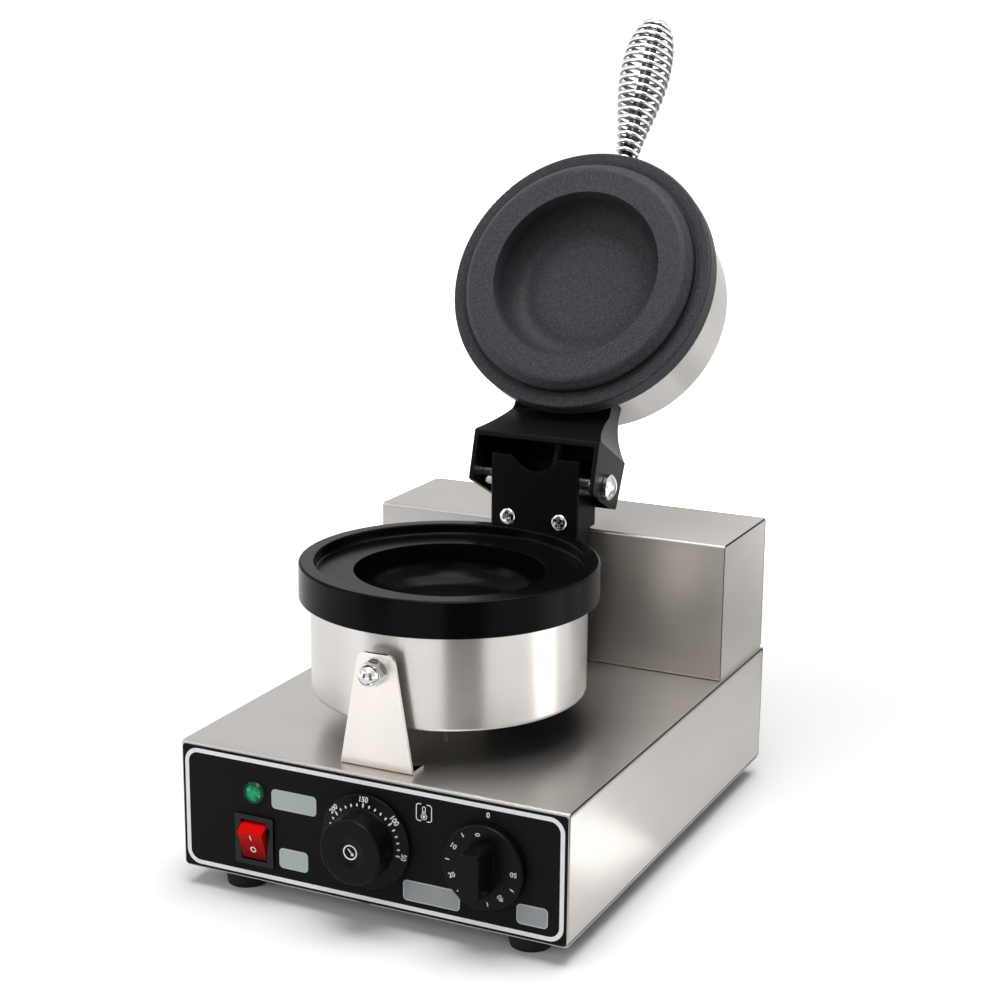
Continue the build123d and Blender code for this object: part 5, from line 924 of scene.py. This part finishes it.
class PRESS_OT_leads(bpy.types.Operator):
    """Draw the sleeved leads of the lid and of the hinge post"""
    bl_idname = "press.leads"
    bl_label = "Leads"

    def execute(self, context):
        radius = 3 * MM
        # The lid's lead runs inside the bracket and turns sideways on the hinge's axis
        inside, start, bend = -13 * MM, 69 * MM, 6 * MM
        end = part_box("lid_cable")[1].x
        route = [
            (0, start, inside), (0, 5 * bend, inside), (0, bend, inside), (0, 0, inside), (0, 0, inside / 2),
            (0, 0, 0), (end / 2, 0, 0), (end, 0, 0),
        ]
        points = [HINGE + Vector((x, 0, 0)) + LID_ALONG * along + LID_OUT * out for x, along, out in route]
        lead = swept_wire("lid_lead", "NURBS", points, radius, 20, "woven_sleeve")
        place_piece(lead, "lid", ["lid_cable"])
        low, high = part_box("post_cable")
        side = high.x - radius
        down = [
            (low.x, HINGE.z), (low.x + 4 * MM, HINGE.z), (side, HINGE.z), (side, HINGE.z - bend),
            (side, HINGE.z - 5 * bend), (side, (HINGE.z + low.z) / 2), (side, low.z),
        ]
        points = [Vector((x, HINGE.y, z)) for x, z in down]
        lead = swept_wire("post_lead", "NURBS", points, radius, 20, "woven_sleeve")
        place_piece(lead, "root", ["post_cable"])
        return {"FINISHED"}


# Print
def on_panel(x, y, z):
    """The place of a print drawn in the XY plane, upright and facing forwards at this point."""
    return Matrix.Translation((x, y, z)) @ Matrix.Rotation(pi / 2, 4, "X")


def rounded_loop(half_width, half_height, corner, steps=8):
    """Corners of a rounded rectangle about the origin, counter-clockwise."""
    loop = []
    for quarter, (sx, sy) in enumerate(((1, 1), (-1, 1), (-1, -1), (1, -1))):
        for step in range(steps + 1):
            angle = (quarter + step / steps) * pi / 2
            loop.append((
                sx * (half_width - corner) + corner * cos(angle),
                sy * (half_height - corner) + corner * sin(angle)))
    return loop


def flat_frame(name, place, half_width, half_height, line, corner, height, material):
    """A raised line inside a rounded rectangle on a face that looks along -Y."""
    x, face_y, z = place
    outer = rounded_loop(half_width, half_height, corner)
    inner = rounded_loop(half_width - line, half_height - line, max(corner - line, 0.2 * MM))
    section = ((outer, 0.0), (outer, height), (inner, height), (inner, 0.0))
    verts = [(x + px, face_y - lift, z + pz) for loop, lift in section for px, pz in loop]
    return mesh_piece(name, verts, ring_faces(len(section), len(outer), closed=True), material)


def text_mesh(text, size, thickness):
    """Plain figures as a thin mesh, centred on the origin in the XY plane, with their back at z = 0."""
    curve = bpy.data.curves.new("figures", "FONT")
    curve.body = text
    curve.size = size
    curve.extrude = thickness / 2
    # The strokes are fattened by this share of the size
    curve.offset = size * 0.022
    curve.resolution_u = 4
    curve.align_x = "CENTER"
    curve.align_y = "CENTER"
    holder = new_object("figures", curve)
    mesh = evaluated(holder)
    bpy.data.objects.remove(holder)
    xs = [v.co.x for v in mesh.vertices]
    ys = [v.co.y for v in mesh.vertices]
    mesh.transform(Matrix.Translation((-(min(xs) + max(xs)) / 2, -(min(ys) + max(ys)) / 2, thickness / 2)))
    mesh.materials.clear()
    mesh.materials.append(finish("screen_ink"))
    return new_object("figures", mesh)


def stroke(points, width, thickness, closed=False):
    """A flat ink line in the XY plane with its back at z = 0. Points and width are in millimetres."""
    many = len(points)
    verts = []
    for place, (x, y) in enumerate(points):
        before = points[(place - 1) % many] if closed or place else points[place]
        after = points[(place + 1) % many] if closed or place < many - 1 else points[place]
        way = Vector((after[0] - before[0], after[1] - before[1])).normalized() * width * MM / 2
        left, right = (x * MM - way.y, y * MM + way.x), (x * MM + way.y, y * MM - way.x)
        verts += [(*left, 0.0), (*right, 0.0), (*right, thickness), (*left, thickness)]
    return mesh_piece("stroke", verts, ring_faces(many, 4, closed), "screen_ink")


def arc(x, y, radius, first, last, steps=12):
    """Points in millimetres on an arc, its angles in degrees."""
    angles = [radians(first + (last - first) * step / steps) for step in range(steps + 1)]
    return [(x + radius * cos(angle), y + radius * sin(angle)) for angle in angles]


def surface_y(node, x, z):
    """The Y at which a line along Y from the front first meets a node, in metres."""
    hit, place, _, _ = NODES[node].ray_cast((x, PANEL_Y - 1.0, z), (0, 1, 0))
    if not hit:
        raise RuntimeError(f"nothing of {node} stands behind x {x:.4f}, z {z:.4f}")
    return place.y


def lay_on(node, print_piece, height):
    """Moves a thin print's front and back to either side of the surface of a node that it faces."""
    sunk = -0.1 * MM
    ys = [vert.co.y for vert in print_piece.data.vertices]
    halfway = (min(ys) + max(ys)) / 2
    for vert in print_piece.data.vertices:
        lift = height if vert.co.y < halfway else sunk
        vert.co.y = surface_y(node, vert.co.x, vert.co.z) - lift
    return print_piece


def label_boxes():
    """Middle and size of each label plate, from the loose solids of their node."""
    work = bmesh.new()
    work.from_mesh(NODES["label_plates"].data)
    bmesh.ops.remove_doubles(work, verts=work.verts, dist=1e-6)
    left = set(work.verts)
    boxes = []
    while left:
        island, queue = [], [left.pop()]
        while queue:
            vert = queue.pop()
            island.append(vert.co.copy())
            for edge in vert.link_edges:
                other = edge.other_vert(vert)
                if other in left:
                    left.remove(other)
                    queue.append(other)
        xs, zs = [v.x for v in island], [v.z for v in island]
        boxes.append(((min(xs) + max(xs)) / 2, (min(zs) + max(zs)) / 2, max(xs) - min(xs), max(zs) - min(zs)))
    work.free()
    return sorted(boxes)


class PRESS_OT_panel_print(bpy.types.Operator):
    """Print the panel's white border, the zero mark and the thermometer sign, and edge the label plates"""
    bl_idname = "press.panel_print"
    bl_label = "Panel print"

    def execute(self, context):
        ink = settings().print
        low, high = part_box("control_overlay")
        border = flat_frame(
            "panel_border", ((low.x + high.x) / 2, OVERLAY_Y, (low.z + high.z) / 2),
            (high.x - low.x) / 2 - ink.border_inset, (high.z - low.z) / 2 - ink.border_inset,
            ink.line_width, ink.border_corner, ink.ink_height, "screen_ink")
        place_piece(border, "root")
        zero_size = 4.4 * MM
        zero = text_mesh("0", zero_size, ink.ink_height)
        zero.matrix_world = on_panel(ZERO_X, OVERLAY_Y, BASE_LOW_Z + ZERO_RISE)
        place_piece(joined("zero_mark", [zero]), "root")
        # The thermometer sign: both halves of its frame, the glass, the column and the bulb's filling
        half_frame = [(1.7, 5.0), *arc(3.2, 3.4, 1.6, 90, 0), *arc(3.2, -3.4, 1.6, 0, -90), (1.7, -5.0)]
        glass = [*arc(0, 2.7, 0.9, 0, 180), *arc(0, -2.3, 1.75, 121, 419, 20)]
        parts = [
            stroke(half_frame, 0.55, ink.ink_height),
            stroke([(-x, y) for x, y in half_frame], 0.55, ink.ink_height),
            stroke(glass, 0.44, ink.ink_height, closed=True),
            stroke([(0, 1.2), (0, -1.2)], 0.5, ink.ink_height),
            stroke(arc(0, -2.3, 0.45, 0, 330), 0.85, ink.ink_height, closed=True),
        ]
        for part in parts:
            part.matrix_world = on_panel(SIGN_X, OVERLAY_Y, BASE_LOW_Z + SIGN_RISE)
        place_piece(joined("heat_sign", parts), "root")
        rim_line, rim_corner = 0.7 * MM, 2.6 * MM
        rims = [
            flat_frame(
                "rim", (x, LABEL_Y, z), width / 2, tall / 2, rim_line, rim_corner, ink.ink_height,
                "label_ink")
            for x, z, width, tall in label_boxes()
        ]
        place_piece(joined("label_rims", rims), "root")
        return {"FINISHED"}


def ring_marks(name, **choices):
    """Ink marks on a ring round a dial."""
    holder = new_object(name, bpy.data.meshes.new(name))
    return grow(name, holder, dial_tree(), material=finish("screen_ink"), **choices)


def figures_on_dial(name, node, labels, radius, centre, inward):
    """Figures round a dial's face, each at its angle, reading round the dial or inwards along its radius."""
    ink = settings().print
    figures = []
    for text, angle in labels:
        figure = text_mesh(text, ink.digit_height, ink.ink_height)
        turn = angle + pi if inward else angle - pi / 2
        spot = Matrix.Translation((radius * cos(angle), radius * sin(angle), 0))
        figure.matrix_world = on_panel(centre.x, PANEL_Y, centre.z) @ spot @ Matrix.Rotation(turn, 4, "Z")
        figures.append(figure)
    return lay_on(node, joined(name, figures), ink.ink_height)


class PRESS_OT_thermostat_scale(bpy.types.Operator):
    """Print the thermostat knob's dots and numbers on its sloping skirt, and its cap's sign"""
    bl_idname = "press.thermostat_scale"
    bl_label = "Thermostat scale"

    def execute(self, context):
        ink = settings().print
        # The skirt's two rims: how far each stands off the panel, and its radius
        outer_rise, inner_rise = 4.4 * MM, 6.4 * MM
        outer, inner = 28.1 * MM, 20.6 * MM
        dots, numbers = 22.6 * MM, 25.9 * MM
        rise = outer_rise + (outer - dots) / (outer - inner) * (inner_rise - outer_rise)
        marks = ring_marks(
            "thermostat_dots", count=21, first_angle=radians(-10), step=radians(10), ring_radius=dots,
            length=1.9 * MM, width=1.15 * MM, thickness=2 * ink.ink_height,
            slope=atan2(inner_rise - outer_rise, outer - inner), major_every=5, major_share=1.5,
            centre=(THERMOSTAT.x, PANEL_Y - rise, THERMOSTAT.z))
        labels = [(str(50 * place + 50), radians(50 * place - 10)) for place in range(5)]
        printed = figures_on_dial(
            "thermostat_numbers", "thermostat_knob", labels, numbers, THERMOSTAT, inward=False)
        place_piece(joined("thermostat_scale", [marks, printed]), "thermostat_dial")
        # The cap's sign: a ring in its hollow, and a hand with its end dot at the hollow's bottom
        ring, thick = 4.1, 0.3 * MM
        hollow = surface_y("thermostat_knob", THERMOSTAT.x + ring * MM, THERMOSTAT.z)
        bottom = surface_y("thermostat_knob", THERMOSTAT.x, THERMOSTAT.z)
        parts = []
        for face, part in (
                (hollow, stroke(arc(0, 0, ring, 0, 345, 46), 0.75, thick, closed=True)),
                (bottom, stroke([(-1.5, 1.9), (1.2, -1.2)], 0.7, thick)),
                (bottom, stroke(arc(1.2, -1.2, 0.55, 0, 330), 0.9, thick, closed=True))):
            part.matrix_world = on_panel(THERMOSTAT.x, face + thick - 2 * ink.ink_height, THERMOSTAT.z)
            parts.append(part)
        place_piece(joined("cap_sign", parts), "thermostat_dial")
        return {"FINISHED"}


class PRESS_OT_timer_scale(bpy.types.Operator):
    """Print the timer knob's numbers and ticks on its disc"""
    bl_idname = "press.timer_scale"
    bl_label = "Timer scale"

    def execute(self, context):
        ink = settings().print
        disc_rise, ticks_ring, numbers = 7 * MM, 21 * MM, 19.6 * MM
        first, step = radians(97), radians(26.3)
        ticks = ring_marks(
            "timer_ticks", count=5, first_angle=first + step, step=2 * step, ring_radius=ticks_ring,
            length=3 * MM, width=0.8 * MM, thickness=2 * ink.ink_height, slope=0.0, major_every=1,
            major_share=1.0, centre=(TIMER.x, PANEL_Y - disc_rise, TIMER.z))
        labels = [(str(10 * place), first + 2 * step * place) for place in range(6)]
        printed = figures_on_dial("timer_numbers", "timer_knob", labels, numbers, TIMER, inward=True)
        place_piece(joined("timer_scale", [ticks, printed]), "timer_dial")
        return {"FINISHED"}


class PRESS_OT_switch_marks(bpy.types.Operator):
    """Print the switch's on and off marks on its rocker"""
    bl_idname = "press.switch_marks"
    bl_label = "Switch marks"

    def execute(self, context):
        ink = settings().print
        centre_x, centre_z = middle("switch_rocker").x, middle("switch_housing").z
        marks = []
        # Each mark's height over the switch's middle and its size, in millimetres
        for text, rise, size in (("I", 3.2, 4.8), ("O", -5.2, 5.2)):
            mark = text_mesh(text, size * MM, ink.ink_height)
            mark.matrix_world = on_panel(centre_x, PANEL_Y, centre_z + rise * MM)
            marks.append(mark)
        place_piece(lay_on("switch_rocker", joined("switch_marks", marks), ink.ink_height), "rocker")
        return {"FINISHED"}


class PRESS_OT_lamp_lens(bpy.types.Operator):
    """Mould the pilot lamp's lens with its ring of facets"""
    bl_idname = "press.lamp_lens"
    bl_label = "Lamp lens"

    def execute(self, context):
        low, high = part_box("pilot_lamp_lens")
        around = 2 * 24
        # Radius, distance behind the front and depth of the flutes, in millimetres
        outline = [
            (4.0, (high.y - low.y) / MM, 0), (4.0, 2.9, 0), (7.0, 2.9, 0), (7.0, 1.9, 0), (6.7, 1.3, 0),
            (6.1, 0.6, 0), (5.5, 0.6, 0), (5.3, 1.1, 0), (5.0, 0.9, 0.4), (3.9, 0.6, 0.6),
            (2.9, 0.45, 0.25), (1.6, 0.32, 0.12), (0.7, 0.3, 0),
        ]
        verts = []
        for reach, behind, flute in outline:
            for side in range(around):
                angle = 2 * pi * side / around
                depth = behind + flute * (side % 2)
                verts.append((
                    LAMP.x + reach * MM * cos(angle), low.y + depth * MM, LAMP.z + reach * MM * sin(angle)))
        lens = mesh_piece("lamp_jewel", verts, ring_faces(len(outline), around), "green_acrylic")
        place_piece(lens, "root", ["pilot_lamp_lens"])
        return {"FINISHED"}


# Studio
WHITE = (1.0, 1.0, 1.0, 1.0)


def direct_view(tree):
    """1 for rays from the camera, off a mirror or through glass, and 0 for those that light the object."""
    ray = add_node(tree, "ShaderNodeLightPath").outputs
    bent = add_node(
        tree, "ShaderNodeMath", (ray["Is Glossy Ray"], ray["Is Transmission Ray"]), operation="MAXIMUM")
    return add_node(tree, "ShaderNodeMath", (ray["Is Camera Ray"], bent), operation="MAXIMUM")


def floor_material():
    """Painted studio floor: pale near the object and white further off. It throws back a dimmer light."""
    made, tree, shader, place = new_material("painted_floor")
    colour = settings().studio.floor_colour
    seen = direct_view(tree)
    tone = add_node(tree, "ShaderNodeMix", {0: seen, 6: rgba(colour, 0.6), 7: rgba(colour)}, data_type="RGBA")
    reach = add_node(tree, "ShaderNodeVectorMath", (place,), operation="LENGTH").outputs["Value"]
    far = add_node(tree, "ShaderNodeMapRange", (reach, 0.45, 0.95), interpolation_type="SMOOTHSTEP")
    feed(tree, shader, {
        "Base Color": tone.outputs[2], "Roughness": 1.0, "Specular IOR Level": 0.0, "Emission Color": WHITE,
        "Emission Strength": add_node(tree, "ShaderNodeMath", (far, seen), operation="MULTIPLY")})
    return made


def soft_light(name, place, size, power):
    """A large rectangular light that looks at the object's middle."""
    light = bpy.data.lights.new(name, "AREA")
    light.shape = "RECTANGLE"
    light.size, light.size_y = size
    light.energy = power
    holder = new_object(name, light)
    holder.location = place
    aim = Vector((0, 0, 0.2))
    holder.rotation_euler = (aim - Vector(place)).to_track_quat("-Z", "Y").to_euler()
    return holder


def studio_card(name, azimuth, half_width, reach, level):
    """A cloth and an upright card that only reflections see, to give the steel its dark and bright bands. The
    cloth reaches from near to far, and the card from there to its top."""
    near, far, top = reach
    lift = 3 * MM
    verts = [
        (out * sin(side), LOWER_DRUM.y - out * cos(side), up)
        for out, up in ((near, lift), (far, lift), (far, top))
        for side in (azimuth - radians(half_width), azimuth + radians(half_width))
    ]
    mesh = bpy.data.meshes.new(name)
    mesh.from_pydata(verts, [], [(0, 1, 3, 2), (2, 3, 5, 4)])
    made, tree, shader, _ = new_material(name)
    feed(tree, shader, {
        "Base Color": (0.0, 0.0, 0.0, 1.0), "Roughness": 1.0, "Specular IOR Level": 0.0,
        "Emission Color": WHITE, "Emission Strength": level})
    mesh.materials.append(made)
    card = new_object(name, mesh)
    card.visible_camera = False
    card.visible_diffuse = False
    card.visible_shadow = False
    card.visible_transmission = False


class PRESS_OT_studio(bpy.types.Operator):
    """Set the floor, the lights, the cards, the room and the camera"""
    bl_idname = "press.studio"
    bl_label = "Studio"

    def execute(self, context):
        studio = settings().studio
        scene = context.scene
        scene.view_settings.view_transform = "Standard"
        half = 30.0
        floor_mesh = bpy.data.meshes.new("studio_floor")
        floor_mesh.from_pydata(
            [(-half, -half, 0), (half, -half, 0), (half, half, 0), (-half, half, 0)], [], [(0, 1, 2, 3)])
        floor_mesh.materials.append(floor_material())
        floor = new_object("studio_floor", floor_mesh)
        soft_light("key_light", (-1.3, -1.6, 0.85), (1.4, 1.3), studio.key_power)
        soft_light("sheen_light", (0.35, -1.0, 1.9), (1.0, 1.0), studio.sheen_power).visible_diffuse = False
        soft_light("top_light", (0.2, -0.1, 2.1), (1.8, 1.6), studio.top_power)
        studio_card("dark_card", studio.dark_azimuth, 15, (0.3, 1.6, 2.0), studio.dark_level)
        studio_card("left_card", studio.left_azimuth, 13, (0.7, 1.3, 0.9), studio.left_level)
        studio_card("right_card", studio.right_azimuth, 10, (0.5, 1.5, 0.8), studio.right_level)
        studio_card("white_card", studio.white_azimuth, 11, (0.16, 0.7, 0.5), studio.white_level)
        world = bpy.data.worlds.new("plain_room")
        scene.world = world
        world.use_nodes = True
        tree = world.node_tree
        tree.nodes.clear()
        strength = add_node(tree, "ShaderNodeMapRange", (direct_view(tree), 0.0, 1.0, studio.surround, 1.0))
        air = add_node(tree, "ShaderNodeBackground", {"Color": WHITE, "Strength": strength})
        add_node(tree, "ShaderNodeOutputWorld", {"Surface": air})
        camera = bpy.data.cameras.new("camera")
        camera.sensor_width = 36.0
        camera.lens = studio.lens
        camera.clip_start, camera.clip_end = 0.01, 100.0
        azimuth, elevation, roll = studio.azimuth, studio.elevation, studio.roll
        behind = Vector((sin(azimuth) * cos(elevation), -cos(azimuth) * cos(elevation), sin(elevation)))
        right = Vector((cos(azimuth), sin(azimuth), 0))
        upward = behind.cross(right)
        turned_right = cos(roll) * right + sin(roll) * upward
        turned_up = -sin(roll) * right + cos(roll) * upward
        stand = Vector(studio.place) + Vector((0, PANEL_Y, BASE_LOW_Z))
        holder = new_object("camera", camera)
        holder.matrix_world = (
            Matrix.Translation(stand) @ Matrix((turned_right, turned_up, behind)).transposed().to_4x4())
        scene.camera = holder
        return {"FINISHED"}


OPERATORS = (
    PRESS_OT_finishes,
    PRESS_OT_coil_handle,
    PRESS_OT_screws,
    PRESS_OT_leads,
    PRESS_OT_panel_print,
    PRESS_OT_thermostat_scale,
    PRESS_OT_timer_scale,
    PRESS_OT_switch_marks,
    PRESS_OT_lamp_lens,
    PRESS_OT_studio,
)


class PRESS_PT_sidebar(bpy.types.Panel):
    """Lists the press's pieces and settings"""
    bl_idname = "PRESS_PT_sidebar"
    bl_label = "Countertop press"
    bl_space_type = "VIEW_3D"
    bl_region_type = "UI"
    bl_category = "Countertop press"

    def draw(self, context):
        column = self.layout.column()
        for operator in OPERATORS:
            column.operator(operator.bl_idname)
        for group in ("studio", "steel", "coat", "coil", "print"):
            part = getattr(context.scene.countertop_press, group)
            box = column.box()
            box.label(text=group.capitalize())
            for name in part.__annotations__:
                box.prop(part, name)


CLASSES = (
    StudioSettings, SteelSettings, CoatSettings, CoilSettings, PrintSettings, PressSettings,
    *OPERATORS, PRESS_PT_sidebar,
)


def register():
    for each in CLASSES:
        bpy.utils.register_class(each)
    bpy.types.Scene.countertop_press = PointerProperty(type=PressSettings)


def unregister():
    del bpy.types.Scene.countertop_press
    for each in reversed(CLASSES):
        bpy.utils.unregister_class(each)


def main():
    register()
    for operator in OPERATORS:
        group, name = operator.bl_idname.split(".")
        getattr(getattr(bpy.ops, group), name)()


if __name__ == "__main__":
    main()
